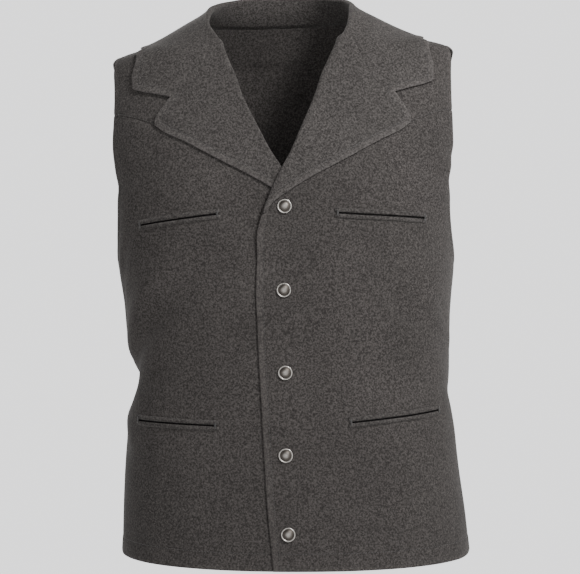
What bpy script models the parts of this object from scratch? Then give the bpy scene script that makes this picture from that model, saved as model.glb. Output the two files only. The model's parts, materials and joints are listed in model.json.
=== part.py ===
"""A western vest with notched lapels, five snaps and four welt pockets, in the shape it has when worn.

Metres, +Z up, the front faces -Y and the wearer's left is +X. The origin is the middle of the neck,
level with the shoulder line, which is where the garment hangs from its wearer.

Every piece of cloth is laid out on a chart of the body: how far round it is from the middle of the
front ("girth"), and its height. The sections below turn a chart point into a point in space.
"""

import math
from collections import namedtuple

import bpy
from mathutils import Matrix, Vector

VEST = "western_vest"
Finish = namedtuple("Finish", "name colour roughness metallic")
WOOL = Finish("charcoal_wool", (0.078, 0.071, 0.066), 0.95, 0.0)
WOOL_FACING = Finish("charcoal_wool_facing", (0.090, 0.082, 0.076), 0.95, 0.0)
SILVER = Finish("antique_silver", (0.46, 0.43, 0.39), 0.38, 1.0)

# Cloth, buttons and how closely the plies lie
CLOTH = 0.0020
SEAM_GAP = 0.0003
PLY_PITCH = 0.0026
LAPEL_PLY = 0.0036
WELT_CLOTH = 0.0013
WELT_WIDTH = 0.0055
WELT_SLOT = 0.0010
WELT_PAST_SLOT = 0.0030
WELT_GAP = 0.0005
SNAP_RADIUS = 0.00825
SNAP_HEIGHT = 0.0036
SNAP_BACK_RADIUS = 0.0060
SNAP_BACK_HEIGHT = 0.0014
SNAP_STEPS = 16
SnapPoint = namedtuple("SnapPoint", "radius height")
SNAP_CAP = (
    SnapPoint(0.0, SNAP_HEIGHT),
    SnapPoint(0.0024, 0.0033),
    SnapPoint(0.0044, 0.0024),
    SnapPoint(0.0054, 0.0014),
    SnapPoint(0.0061, 0.0013),
    SnapPoint(0.0069, 0.0019),
    SnapPoint(0.0077, 0.0016),
    SnapPoint(SNAP_RADIUS, 0.0008),
    SnapPoint(SNAP_RADIUS, 0.0),
    SnapPoint(0.0, 0.0),
)
SNAP_BACK = (
    SnapPoint(0.0, 0.0),
    SnapPoint(SNAP_BACK_RADIUS, 0.0),
    SnapPoint(SNAP_BACK_RADIUS, -0.0008),
    SnapPoint(0.0048, -SNAP_BACK_HEIGHT),
    SnapPoint(0.0, -SNAP_BACK_HEIGHT),
)

# A quarter of the way round the body on the chart: front middle, left side, back middle, right side
QUARTER = 0.270
CHEST_MIDDLE = Vector((0.0, 0.0, -0.120))
PROBE = 0.0004
SHARE_PROBE = 0.004
TILT_ROUNDS = 4
HALVINGS = 40
RADIAL_REACH = (0.5, 1.5)

# The body's cross sections from the collar's fold down to the hem. Each is a rounded rectangle whose
# squareness is 2 for an ellipse. Sway moves it to +X, and tilt lifts it per metre of +X, since the
# vest is worn with one shoulder lower and its hem off to one side.
Section = namedtuple("Section", "height half_width front back squareness sway tilt")
SECTIONS = (
    Section(-0.640, 0.2060, 0.136, 0.113, 2.30, 0.0168, 0.000),
    Section(-0.600, 0.2030, 0.134, 0.110, 2.30, 0.0158, 0.000),
    Section(-0.500, 0.1945, 0.130, 0.100, 2.40, 0.0115, 0.000),
    Section(-0.400, 0.1880, 0.128, 0.097, 2.50, 0.0082, 0.000),
    Section(-0.340, 0.1895, 0.129, 0.103, 2.55, 0.0070, 0.000),
    Section(-0.270, 0.1965, 0.131, 0.112, 2.60, 0.0040, 0.000),
    Section(-0.200, 0.2015, 0.128, 0.117, 2.60, 0.0020, 0.003),
    Section(-0.150, 0.2045, 0.120, 0.115, 2.60, 0.0012, 0.008),
    Section(-0.100, 0.2065, 0.106, 0.108, 2.45, 0.0010, 0.016),
    Section(-0.075, 0.2070, 0.098, 0.103, 2.35, 0.0010, 0.028),
    Section(-0.050, 0.2065, 0.089, 0.096, 2.20, 0.0010, 0.034),
    Section(-0.035, 0.2035, 0.083, 0.091, 2.15, 0.0010, 0.037),
    Section(-0.026, 0.1965, 0.078, 0.086, 2.10, 0.0010, 0.038),
    Section(-0.013, 0.1560, 0.070, 0.080, 2.10, 0.0000, 0.038),
    Section(0.009, 0.1120, 0.058, 0.068, 2.05, -0.0010, 0.036),
    Section(0.028, 0.0800, 0.048, 0.056, 2.00, -0.0010, 0.034),
    Section(0.045, 0.0680, 0.043, 0.050, 2.00, -0.0010, 0.034),
    Section(0.060, 0.0640, 0.041, 0.047, 2.00, -0.0010, 0.034),
)

# The largest folds of the worn cloth. Depth is inward where it is negative.
Crease = namedtuple("Crease", "turn height angle length width depth")
CREASES = (
    Crease(-1.00, -0.409, 4, 0.080, 0.024, -0.0140),
    Crease(-0.66, -0.362, 33, 0.070, 0.017, -0.0085),
    Crease(-0.62, -0.322, 38, 0.060, 0.016, 0.0045),
    Crease(0.62, -0.350, -38, 0.060, 0.018, -0.0035),
    Crease(0.55, -0.310, -60, 0.090, 0.030, 0.0040),
    Crease(0.66, -0.172, -14, 0.036, 0.011, -0.0030),
    Crease(-0.66, -0.178, 18, 0.036, 0.012, -0.0030),
    Crease(1.25, -0.400, 20, 0.080, 0.022, -0.0060),
    Crease(1.55, -0.360, 32, 0.090, 0.020, -0.0050),
    Crease(2.45, -0.375, -28, 0.090, 0.022, -0.0060),
    Crease(2.75, -0.415, -12, 0.070, 0.020, -0.0055),
    Crease(2.00, -0.250, 90, 0.120, 0.045, -0.0060),
)

# The line along which a lapel folds back, from the break up to the neck, where the wearer's left
# lapel and right lapel each reach out from the middle.
FoldRow = namedtuple("FoldRow", "height left right")
FOLD_ROWS = (
    FoldRow(-0.217, -0.0219, -0.0219),
    FoldRow(-0.192, -0.0121, -0.0105),
    FoldRow(-0.165, 0.0014, 0.0030),
    FoldRow(-0.150, 0.0098, 0.0130),
    FoldRow(-0.120, 0.0228, 0.0290),
    FoldRow(-0.084, 0.0378, 0.0465),
    FoldRow(-0.050, 0.0500, 0.0585),
    FoldRow(-0.022, 0.0628, 0.0690),
    FoldRow(-0.012, 0.0716, 0.0742),
    FoldRow(-0.004, 0.0760, 0.0788),
    FoldRow(0.005, 0.0785, 0.0835),
    FoldRow(0.018, 0.0800, 0.0835),
)
GORGE_ROW = 9

# Outlines of one side of the vest, each row a reach from the middle and a height
FRONT_EDGE = (
    (-0.0250, -0.620),
    (-0.0290, -0.557),
    (-0.0305, -0.495),
    (-0.0315, -0.4425),
    (-0.0338, -0.359),
    (-0.0343, -0.3065),
    (-0.0314, -0.269),
    (-0.0297, -0.235),
    (-0.0243, -0.218),
)
YOKE_SEAM = (
    (0.070, -0.131),
    (0.110, -0.125),
    (0.142, -0.1145),
    (0.164, -0.1060),
    (0.182, -0.1005),
)
LAPEL_LOWER_EDGE = (
    (-0.012, -0.2050),
    (0.006, -0.1920),
    (0.030, -0.1775),
    (0.070, -0.1560),
    (0.110, -0.1340),
    (0.1385, -0.1190),
    (0.1450, -0.1135),
)
LAPEL_TOP_EDGE = (
    (0.1450, -0.1135),
    (0.1455, -0.1080),
    (0.1410, -0.0990),
    (0.1345, -0.0900),
    (0.1270, -0.0793),
)
GORGE_SEAM = (
    (0.0855, -0.0280),
    (0.0960, -0.0505),
    (0.1090, -0.0710),
    (0.1270, -0.0793),
)
COLLAR_FRONT_EDGE = (
    (0.1270, -0.0793),
    (0.1450, -0.0745),
    (0.1655, -0.0690),
    (0.1715, -0.0665),
)

# The armhole, by how far each point is in front of the shoulder line (negative) or behind it
ARMHOLE_FRONT = (
    (0.000, -0.268),
    (-0.028, -0.258),
    (-0.047, -0.235),
    (-0.0555, -0.200),
    (-0.054, -0.170),
    (-0.048, -0.135),
    (-0.0448, -0.0975),
)
ARMHOLE_YOKE = (
    (-0.0448, -0.0975),
    (-0.0388, -0.070),
    (-0.0300, -0.045),
    (-0.0200, -0.0265),
)
ARMHOLE_BACK = (
    (0.000, -0.268),
    (0.026, -0.259),
    (0.046, -0.238),
    (0.056, -0.200),
    (0.056, -0.160),
    (0.052, -0.120),
    (0.047, -0.085),
    (0.037, -0.055),
    (0.022, -0.037),
    (0.000, -0.0290),
    (-0.0200, -0.0265),
)

# The hem by turn: 0 is the middle of the front, 1 the side and 2 the middle of the back
HEM = ((-0.20, -0.6205), (0.30, -0.6195), (0.70, -0.6140), (1.00, -0.6090), (1.40, -0.6130), (2.00, -0.6210))

# The collar beyond the gorge, from the shoulder to the middle of the back. A station has the turn and
# height of its fold, of the neck seam under it and of its outer edge.
Station = namedtuple("Station", "fold seam edge")
STATIONS = (
    Station((0.90, 0.0270), (0.90, 0.0125), (0.90, -0.0165)),
    Station((1.12, 0.0335), (1.12, 0.0125), (1.10, -0.0145)),
    Station((1.40, 0.0400), (1.40, 0.0122), (1.38, -0.0175)),
    Station((1.70, 0.0450), (1.70, 0.0120), (1.68, -0.0225)),
    Station((2.00, 0.0470), (2.00, 0.0120), (2.00, -0.0300)),
)
NECK_SEAM_FRONT = ((0.0865, 0.0030), (0.0985, 0.0095))
COLLAR_EDGE_FRONT = ((0.1725, -0.0500), (0.1690, -0.0340), (0.1660, -0.0215))

# A fold is a half circle between its lower ply, which stops at FOLD_LEG, and its upper ply
FOLD_REACH = 0.0012
FOLD_LEG = 0.0031
BODY_EDGE = FOLD_LEG + SEAM_GAP / 2.0
FOLD_RADIUS_BREAK = 0.0013
FOLD_RADIUS_NECK = 0.0027
FOLD_OPENS = (0.22, 0.50)
FOLD_SETTLES = 0.0080
FOLD_STEPS = 6
FLAT_SHARES = (0.035, 0.09, 0.18, 0.32, 0.49, 0.66, 0.83, 1.0)
STAND_SHARES = (0.0, 0.5)

# Where the wearer's left front is lifted by what it laps: full lift up to the first reach or between
# the middle two heights, none beyond the others
FRONT_BELOW_X = (0.047, 0.130)
FRONT_BELOW_TOP = (-0.165, -0.075)
LAPEL_BELOW_X = (0.030, 0.110)
LAPEL_BELOW_FOOT = (-0.275, -0.222)
LAPEL_BELOW_TOP = (-0.155, -0.075)

Pocket = namedtuple("Pocket", "name inner outer")
POCKETS = (
    Pocket("chest_left", (0.0600, -0.2165), (0.1592, -0.2213)),
    Pocket("chest_right", (-0.0748, -0.2170), (-0.1631, -0.2290)),
    Pocket("lower_left", (0.0680, -0.4530), (0.1691, -0.4411)),
    Pocket("lower_right", (-0.0845, -0.4568), (-0.1734, -0.4529)),
)
SNAPS = ((0.0010, -0.209), (-0.0030, -0.303), (-0.0040, -0.3965), (-0.0065, -0.490), (-0.0075, -0.579))

# Cells across each piece, and up it in stretches: each stretch is the share it ends at and its cells.
# The fronts' stretches end at the armpit, the lapel's break, the step behind it and the yoke seam. The
# back's end at the armpit, the shoulder point and the neck.
FRONT_ACROSS = 13
FRONT_UP = ((0.66, 12), (0.77, 3), (0.776, 1), (1.0, 7))
YOKE_ACROSS = 10
YOKE_UP = ((0.50, 7), (1.0, 6))
BACK_ACROSS = 28
BACK_UP = ((0.53, 10), (0.86, 10), (1.0, 10))
LAPEL_START = 0.022
COLLAR_CELLS = 42
COLLAR_END_POWER = 2
WELT_CELLS = 12
GORGE_SHARE = 0.66
COLLAR_END_FADE = 0.30
COLLAR_SHARES = (*(GORGE_SHARE * share for share in FLAT_SHARES), 0.745, 0.83, 0.915, 1.0)

# Each piece's rough width and height, or its length along the fold, which size its gap at the seams
FRONT_SIZE = (0.24, 0.50)
YOKE_SIZE = (0.13, 0.12)
BACK_SIZE = (0.50, 0.64)
LAPEL_LENGTH = 0.24
COLLAR_LENGTH = 0.22


def mix(first, second, share):
    return first + (second - first) * share


def ease(low, high, value):
    """0 below low, 1 above high and a smooth step between."""
    share = min(max((value - low) / (high - low), 0.0), 1.0)
    return share * share * (3.0 - 2.0 * share)


def hermite(first, second, slope_first, slope_second, span, share):
    squared = share * share
    cubed = squared * share
    value = first * (2.0 * cubed - 3.0 * squared + 1.0) + second * (3.0 * squared - 2.0 * cubed)
    return value + slope_first * (span * (cubed - 2.0 * squared + share)) + slope_second * (span * (cubed - squared))


def section_slopes():
    """The rate of change of each measure at each section, chosen so that no measure overshoots."""
    steps = []
    for lower, upper in zip(SECTIONS, SECTIONS[1:]):
        rise = upper.height - lower.height
        steps.append([(b - a) / rise for a, b in zip(lower, upper)])
    slopes = [steps[0]]
    for below, above in zip(steps, steps[1:]):
        slopes.append([2.0 * a * b / (a + b) if a * b > 0.0 else 0.0 for a, b in zip(below, above)])
    slopes.append(steps[-1])
    return slopes


SLOPES = section_slopes()


def section_at(height):
    index = 0
    while index < len(SECTIONS) - 2 and height > SECTIONS[index + 1].height:
        index += 1
    lower = SECTIONS[index]
    upper = SECTIONS[index + 1]
    span = upper.height - lower.height
    share = min(max((height - lower.height) / span, 0.0), 1.0)
    measures = [hermite(a, b, m, n, span, share)
                for a, b, m, n in zip(lower, upper, SLOPES[index], SLOPES[index + 1])]
    return Section(*measures)


def crease_depth(girth, height):
    """How far the folds push the cloth out at a chart point."""
    depth = 0.0
    for crease in CREASES:
        across = (girth / QUARTER - crease.turn + 2.0) % 4.0 - 2.0
        across *= QUARTER
        up = height - crease.height
        angle = math.radians(crease.angle)
        along = (across * math.cos(angle) + up * math.sin(angle)) / crease.length
        aside = (up * math.cos(angle) - across * math.sin(angle)) / crease.width
        depth += crease.depth * math.exp(-along * along - aside * aside)
    return depth


def body(chart):
    """The point of the worn form, folds included, at a chart point."""
    girth, height = chart
    section = section_at(height)
    angle = girth / QUARTER * math.pi / 2.0
    side = math.sin(angle)
    face = math.cos(angle)
    power = section.squareness
    reach = (abs(side) ** power + abs(face) ** power) ** (-1.0 / power)
    depth = section.front if face > 0.0 else section.back
    x = section.half_width * side * reach
    y = -depth * face * reach
    out_x = math.copysign(abs(side) ** (power - 1.0), side) / section.half_width
    out_y = -math.copysign(abs(face) ** (power - 1.0), face) / depth
    push = crease_depth(girth, height) / math.hypot(out_x, out_y)
    return Vector((x + section.sway + push * out_x, y + push * out_y, height + section.tilt * x))


def body_frame(chart):
    """Two tangents of the form, per metre of girth and of height, and the normal that points out."""
    girth, height = chart
    around = (body((girth + PROBE, height)) - body((girth - PROBE, height))) / (2.0 * PROBE)
    upward = (body((girth, height + PROBE)) - body((girth, height - PROBE))) / (2.0 * PROBE)
    return around, upward, around.cross(upward).normalized()


def above(chart, lift):
    return body(chart) + body_frame(chart)[2] * lift


def on_front(x, height):
    section = section_at(height)
    power = section.squareness
    side = min(abs(x) / section.half_width, 1.0)
    face = (1.0 - side ** power) ** (1.0 / power)
    return Vector((math.copysign(math.atan2(side, face) * 2.0 / math.pi * QUARTER, x), height))


def front_view(chart):
    """The reach from the middle and the height of a chart point, before sway and tilt."""
    section = section_at(chart[1])
    return Vector(((body(chart).x - section.sway), chart[1]))


def radial(point):
    """The chart point in line with a point in space, seen from the middle of the chest."""
    low, high = RADIAL_REACH
    for _ in range(HALVINGS):
        reach = (low + high) / 2.0
        spot = mix(CHEST_MIDDLE, point, reach)
        height = spot.z
        for _ in range(TILT_ROUNDS):
            section = section_at(height)
            height = spot.z - section.tilt * (spot.x - section.sway)
        side = (spot.x - section.sway) / section.half_width
        face = -spot.y / (section.front if spot.y < 0.0 else section.back)
        if abs(side) ** section.squareness + abs(face) ** section.squareness < 1.0:
            low = reach
        else:
            high = reach
    turn = math.atan2(side, face) * 2.0 / math.pi
    return at_turn(turn % 4.0, height)


def at_turn(turn, height):
    return Vector((turn * QUARTER, height))


def on_left_side(y, height):
    section = section_at(height)
    power = section.squareness
    face = abs(y) / (section.front if y < 0.0 else section.back)
    side = (1.0 - face ** power) ** (1.0 / power)
    turn = math.atan2(side, face) * 2.0 / math.pi
    return at_turn(turn if y < 0.0 else 2.0 - turn, height)


def mirrored(points, side):
    return [Vector((point[0] * side, point[1])) for point in points]


def behind(points):
    """The same points counted on round the back, from the wearer's right."""
    return [Vector((4.0 * QUARTER - point[0], point[1])) for point in points]


class Path:
    """A smooth curve through chart points."""

    def __init__(self, points):
        self.points = [Vector(point) for point in points]
        self.knots = [0.0]
        for before, after in zip(self.points, self.points[1:]):
            self.knots.append(self.knots[-1] + (after - before).length)
        steps = []
        for index in range(len(self.points) - 1):
            span = self.knots[index + 1] - self.knots[index]
            steps.append((self.points[index + 1] - self.points[index]) / span)
        middle = []
        for index in range(len(steps) - 1):
            before = self.knots[index + 1] - self.knots[index]
            after = self.knots[index + 2] - self.knots[index + 1]
            middle.append((steps[index] * after + steps[index + 1] * before) / (before + after))
        first = steps[0] * 1.5 - middle[0] * 0.5 if middle else steps[0]
        last = steps[-1] * 1.5 - middle[-1] * 0.5 if middle else steps[-1]
        self.slopes = [first, *middle, last]

    def at(self, knot):
        index = 0
        while index < len(self.knots) - 2 and knot > self.knots[index + 1]:
            index += 1
        span = self.knots[index + 1] - self.knots[index]
        share = (knot - self.knots[index]) / span
        return hermite(self.points[index], self.points[index + 1],
                       self.slopes[index], self.slopes[index + 1], span, share)

    def stretch(self, first=0, last=-1):
        """The curve from one of its points to another, as a function of the share between them."""
        start = self.knots[first]
        end = self.knots[last]
        return lambda share: self.at(mix(start, end, share))


def traced(points, turn):
    """The chart curve that is smooth in the front view, from its points there, turned to its own side."""
    curve = Path(points).stretch()
    return lambda share: turn([on_front(*curve(share))])[0]


def patch(bottom, top, left, right, fade=1.0, power=1, level=False):
    """The chart surface that spans four edges, each a function of a share.

    It is ruled from bottom to top, and each end's own bow fades away from that end. A level patch
    keeps its rows as high all along as they are on its left edge.
    """

    def at(across, share):
        up = share
        if level:
            up = (left(share)[1] - left(0.0)[1]) / (left(1.0)[1] - left(0.0)[1])
        bow_left = left(share) - mix(bottom(0.0), top(0.0), up)
        bow_right = right(share) - mix(bottom(1.0), top(1.0), up)
        near_left = max(1.0 - across / fade, 0.0) ** power
        near_right = max(1.0 - (1.0 - across) / fade, 0.0) ** power
        return mix(bottom(across), top(across), up) + bow_left * near_left + bow_right * near_right

    return at


def inset(share, length):
    """A share moved in from both ends by half of the seam's gap."""
    margin = SEAM_GAP / 2.0 / length
    return mix(margin, 1.0 - margin, share)


def stops(stretches):
    """The shares of a piece's rows, from its stretches."""
    shares = [0.0]
    for end, cells in stretches:
        start = shares[-1]
        shares.extend(mix(start, end, step / cells) for step in range(1, cells + 1))
    return shares


def beside(path, share, distance, side=1.0):
    """The chart point a short distance from a path, square to it, to its right in the wearer's left."""
    chart = path(share)
    around, upward, normal = body_frame(chart)
    tangent = (body(path(share + SHARE_PROBE)) - body(path(share - SHARE_PROBE))).normalized()
    square = tangent.cross(normal).normalized() * (side * distance)
    metric = Matrix(((around.dot(around), around.dot(upward)), (around.dot(upward), upward.dot(upward))))
    return chart + metric.inverted() @ Vector((square.dot(around), square.dot(upward)))


def left_lift(chart):
    """How far the wearer's left front stands off the form, over what it laps."""
    if abs(chart[0]) > QUARTER:
        return 0.0
    x = body(chart).x
    height = chart[1]
    over_front = (1.0 - ease(*FRONT_BELOW_X, x)) * (1.0 - ease(*FRONT_BELOW_TOP, height))
    over_lapel = (1.0 - ease(*LAPEL_BELOW_X, x)) * ease(*LAPEL_BELOW_FOOT, height)
    over_lapel *= 1.0 - ease(*LAPEL_BELOW_TOP, height)
    return PLY_PITCH * (over_front + over_lapel)


def no_lift(chart):
    return 0.0


def lift_of(side):
    return left_lift if side > 0.0 else no_lift


def fold_path(side):
    """The fold of one lapel, carried on along the collar's fold to the middle of the back."""
    points = [on_front(row.left if side > 0.0 else row.right, row.height) for row in FOLD_ROWS]
    points.extend(at_turn(*station.fold) for station in STATIONS)
    return Path(mirrored(points, side))


def fold_radius(share):
    return mix(FOLD_RADIUS_BREAK, FOLD_RADIUS_NECK, ease(*FOLD_OPENS, share))


def fold_profile(radius):
    """The fold's section from its lower ply round to its upper one: distance from the fold, height."""
    centre = radius - FOLD_REACH
    turns = [math.pi * step / FOLD_STEPS for step in range(FOLD_STEPS + 1)]
    return [(centre - radius * math.sin(turn), radius - radius * math.cos(turn)) for turn in turns]


def upper_ply(radius, distance):
    """Height of the upper ply, which springs from the fold and settles on the cloth below."""
    settled = min(2.0 * radius, LAPEL_PLY)
    return settled + (2.0 * radius - settled) * math.exp(-distance / FOLD_SETTLES)


def cornered(first, second, corner):
    """Two curves end to end, the corner between them at a share of its own."""

    def at(share):
        if share <= corner:
            return first(share / corner)
        return second((share - corner) / (1.0 - corner))

    return at


def hem(first_turn, last_turn):
    path = Path([at_turn(*row) for row in HEM])
    start = first_turn * QUARTER
    end = last_turn * QUARTER

    def at(share):
        girth = mix(start, end, share)
        low, high = 0.0, path.knots[-1]
        for _ in range(HALVINGS):
            middle = (low + high) / 2.0
            if path.at(middle)[0] < girth:
                low = middle
            else:
                high = middle
        return Vector((girth, path.at(low)[1]))

    return at


def neck_seam(side):
    """The seam of the body's neck edge, from the gorge to the middle of the back."""
    points = [beside(fold_path(side).stretch(0, GORGE_ROW), 1.0, BODY_EDGE, side)]
    points.extend(mirrored([on_front(*row) for row in NECK_SEAM_FRONT], side))
    points.extend(mirrored([at_turn(*station.seam) for station in STATIONS], side))
    return Path(points)


SHOULDER_POINT = len(NECK_SEAM_FRONT) + 1


def yoke_seam(side):
    """The seam between a front and its yoke, from the lapel's fold to the armhole."""
    fold = fold_path(side).stretch(0, GORGE_ROW)
    low, high = 0.0, 1.0
    for _ in range(HALVINGS):
        middle = (low + high) / 2.0
        if fold(middle)[1] < YOKE_SEAM[0][1]:
            low = middle
        else:
            high = middle
    start = beside(fold, low, BODY_EDGE, side)
    points = mirrored([on_front(*row) for row in YOKE_SEAM], side)
    points.extend(mirrored([on_left_side(*ARMHOLE_FRONT[-1])], side))
    return low, Path([start, *points])


def new_material(finish):
    material = bpy.data.materials.new(finish.name)
    material.use_nodes = True
    shader = material.node_tree.nodes["Principled BSDF"]
    shader.inputs["Base Color"].default_value = (*finish.colour, 1.0)
    shader.inputs["Roughness"].default_value = finish.roughness
    shader.inputs["Metallic"].default_value = finish.metallic
    return material


def add_sheet(name, rows, thickness, material):
    """A wall of cloth: an open grid of points through its middle, made solid to both sides."""
    across = len(rows[0])
    points = [point for row in rows for point in row]
    faces = []
    for up in range(len(rows) - 1):
        for step in range(across - 1):
            corner = up * across + step
            faces.append((corner, corner + 1, corner + 1 + across, corner + across))
    mesh = bpy.data.meshes.new(name)
    mesh.from_pydata(points, [], faces)
    mesh.materials.append(material)
    mesh.shade_smooth()
    sheet = bpy.data.objects.new(name, mesh)
    VEST_PARTS.objects.link(sheet)
    solid = sheet.modifiers.new("cloth", "SOLIDIFY")
    solid.thickness = thickness
    solid.offset = 0.0
    return sheet


def add_panel(name, at, across, up, lift, size, material):
    """A panel of one ply on the form, from its chart patch."""
    rows = []
    for height in stops(up):
        row = []
        for step in range(across + 1):
            chart = at(inset(step / across, size[0]), inset(height, size[1]))
            row.append(above(chart, lift(chart)))
        rows.append(row)
    return add_sheet(name, rows, CLOTH, material)


def add_front(name, side, material):
    armpit, at_break, behind_break = (end for end, cells in FRONT_UP[:3])
    seam_share, seam = yoke_seam(side)
    fold = fold_path(side).stretch(0, GORGE_ROW)
    edge = [on_front(*row) for row in FRONT_EDGE]
    low = hem(edge[0][0] / QUARTER, 1.0)
    edge[0] = low(0.0)
    step_share = seam_share * (behind_break - at_break) / (1.0 - at_break)

    def behind_fold(share):
        return beside(fold, mix(step_share, seam_share, share), BODY_EDGE, side)

    step = Path([mirrored(edge, side)[-1], behind_fold(0.0)]).stretch()
    above_break = cornered(step, behind_fold, (behind_break - at_break) / (1.0 - at_break))
    inner = cornered(Path(mirrored(edge, side)).stretch(), above_break, at_break)
    armhole = mirrored([on_left_side(*row) for row in ARMHOLE_FRONT], side)
    side_seam = Path([at_turn(side, low(1.0)[1]), armhole[0]])
    outer = cornered(side_seam.stretch(), Path(armhole).stretch(), armpit)

    def bottom(share):
        return mirrored([low(share)], side)[0]

    at = patch(bottom, seam.stretch(), inner, outer)
    return add_panel(name, at, FRONT_ACROSS, FRONT_UP, lift_of(side), FRONT_SIZE, material)


def add_yoke(name, side, material):
    gorge = YOKE_UP[0][0]
    seam_share, seam = yoke_seam(side)
    fold = fold_path(side).stretch(0, GORGE_ROW)

    def behind_fold(share):
        return beside(fold, mix(seam_share, 1.0, share), BODY_EDGE, side)

    neck = neck_seam(side)
    inner = cornered(behind_fold, neck.stretch(0, SHOULDER_POINT), gorge)
    armhole = mirrored([on_left_side(*row) for row in ARMHOLE_YOKE], side)
    shoulder = Path([neck.points[SHOULDER_POINT], armhole[-1]])
    at = patch(seam.stretch(), shoulder.stretch(), inner, Path(armhole).stretch())
    return add_panel(name, at, YOKE_ACROSS, YOKE_UP, lift_of(side), YOKE_SIZE, material)


def add_back(name, material):
    armpit, shoulder_point = (end for end, cells in BACK_UP[:2])
    low = hem(1.0, 2.0)
    neck = neck_seam(1.0)
    armhole = [on_left_side(*row) for row in ARMHOLE_BACK]
    side_seam = [low(0.0), armhole[0]]
    shoulder = [armhole[-1], neck.points[SHOULDER_POINT]]

    def side(turn):
        upper = cornered(Path(turn(armhole)).stretch(), Path(turn(shoulder)).stretch(),
                         (shoulder_point - armpit) / (1.0 - armpit))
        return cornered(Path(turn(side_seam)).stretch(), upper, armpit)

    def both(half):
        """An edge of the left half, and its reflection beyond the middle of the back."""
        return lambda share: half(share * 2.0) if share <= 0.5 else behind([half(2.0 - share * 2.0)])[0]

    at = patch(both(low), both(neck.stretch(SHOULDER_POINT)), side(list), side(behind), level=True)
    return add_panel(name, at, BACK_ACROSS, BACK_UP, no_lift, BACK_SIZE, material)


def add_lapel(name, side, material):
    """The lapel: out of the front's edge, round the fold and flat over the chest."""
    fold = fold_path(side).stretch(0, GORGE_ROW)
    seam_share = yoke_seam(side)[0]
    lift = lift_of(side)

    def fold_side(share):
        distance = fold_radius(share) - FOLD_REACH
        return front_view(beside(fold, mix(LAPEL_START, 1.0, share), distance, side))

    lower = Path([fold_side(0.0), *mirrored(LAPEL_LOWER_EDGE, side)])
    gorge = Path([fold_side(1.0), *mirrored(GORGE_SEAM, side)])
    top = Path(mirrored(LAPEL_TOP_EDGE, side))
    at = patch(lower.stretch(), gorge.stretch(), fold_side, top.stretch())
    seam_stop = (seam_share - LAPEL_START) / (1.0 - LAPEL_START)
    rows = []
    for stop in stops(((seam_stop, FRONT_UP[-1][1]), (1.0, YOKE_UP[0][1]))):
        stop = inset(stop, LAPEL_LENGTH)
        share = mix(LAPEL_START, 1.0, stop)
        radius = fold_radius(share)
        row = []
        for distance, height in [(FOLD_LEG, 0.0), *fold_profile(radius)]:
            chart = beside(fold, share, distance, side)
            row.append(above(chart, height + lift(chart)))
        crest = on_front(*fold_side(stop))
        for flat in FLAT_SHARES:
            chart = on_front(*at(flat, stop))
            height = upper_ply(radius, (body(chart) - body(crest)).length)
            row.append(above(chart, height + lift(chart)))
        rows.append(row)
    return add_sheet(name, rows, CLOTH, material)


def add_collar(name, material):
    """The collar: a stand up from the neck seam, the fold, and a fall over shoulders and back."""
    points = fold_path(1.0).points[:-1]
    points.extend(reversed([Vector((point[0] + 4.0 * QUARTER, point[1])) for point in fold_path(-1.0).points]))
    last = len(points) - 1 - GORGE_ROW
    fold = Path(points).stretch(GORGE_ROW, last)
    left_seam = neck_seam(1.0).stretch()
    right_seam = neck_seam(-1.0).stretch()
    edge_points = [on_front(*COLLAR_FRONT_EDGE[-1]), *(on_front(*row) for row in COLLAR_EDGE_FRONT)]
    edge_points.extend(at_turn(*station.edge) for station in STATIONS)
    edge = Path([*edge_points[:-1], *reversed(behind(edge_points))]).stretch()

    def seam(share):
        if share <= 0.5:
            return left_seam(share * 2.0)
        return right_seam(2.0 - share * 2.0) + Vector((4.0 * QUARTER, 0.0))

    def fold_side(share):
        return beside(fold, share, FOLD_RADIUS_NECK - FOLD_REACH)

    ends = []
    for share, turn in ((0.0, list), (1.0, behind)):
        start = front_view(turn([fold_side(share)])[0])
        gorge = traced([start, *GORGE_SEAM], turn)
        ends.append(cornered(gorge, traced(COLLAR_FRONT_EDGE, turn), GORGE_SHARE))
    curves = [lambda share, curve=curve: body(curve(share)) for curve in (fold_side, edge, *ends)]
    at = patch(*curves, COLLAR_END_FADE, COLLAR_END_POWER)
    rows = []
    for step in range(COLLAR_CELLS + 1):
        share = inset(step / COLLAR_CELLS, COLLAR_LENGTH)
        crest = fold_side(share)
        foot = seam(share)
        gap = SEAM_GAP / (body(crest) - body(foot)).length
        row = [above(mix(foot, crest, mix(gap, 1.0, stand)), 0.0) for stand in STAND_SHARES]
        row.extend(above(beside(fold, share, distance), height)
                   for distance, height in fold_profile(FOLD_RADIUS_NECK))
        for flat in COLLAR_SHARES:
            chart = radial(at(share, flat))
            row.append(above(chart, upper_ply(FOLD_RADIUS_NECK, (body(chart) - body(crest)).length)))
        rows.append(row)
    return add_sheet(name, rows, CLOTH, material)


def add_welts(pocket, material):
    """The two lips of one pocket, above and below its slot."""
    inner = on_front(*pocket.inner)
    outer = on_front(*pocket.outer)
    along = (outer - inner).normalized()
    inner = inner - along * WELT_PAST_SLOT
    outer = outer + along * WELT_PAST_SLOT
    lift = left_lift if inner[0] > 0.0 else no_lift
    stand = CLOTH / 2.0 + WELT_GAP + WELT_CLOTH / 2.0
    for word, direction in (("upper", 1.0), ("lower", -1.0)):
        rows = []
        for edge in (WELT_SLOT / 2.0, WELT_SLOT / 2.0 + WELT_WIDTH):
            row = []
            for step in range(WELT_CELLS + 1):
                chart = mix(inner, outer, step / WELT_CELLS) + Vector((0.0, direction * edge))
                row.append(above(chart, lift(chart) + stand))
            rows.append(row)
        add_sheet(f"welt_{pocket.name}_{word}", rows, WELT_CLOTH, material)


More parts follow.
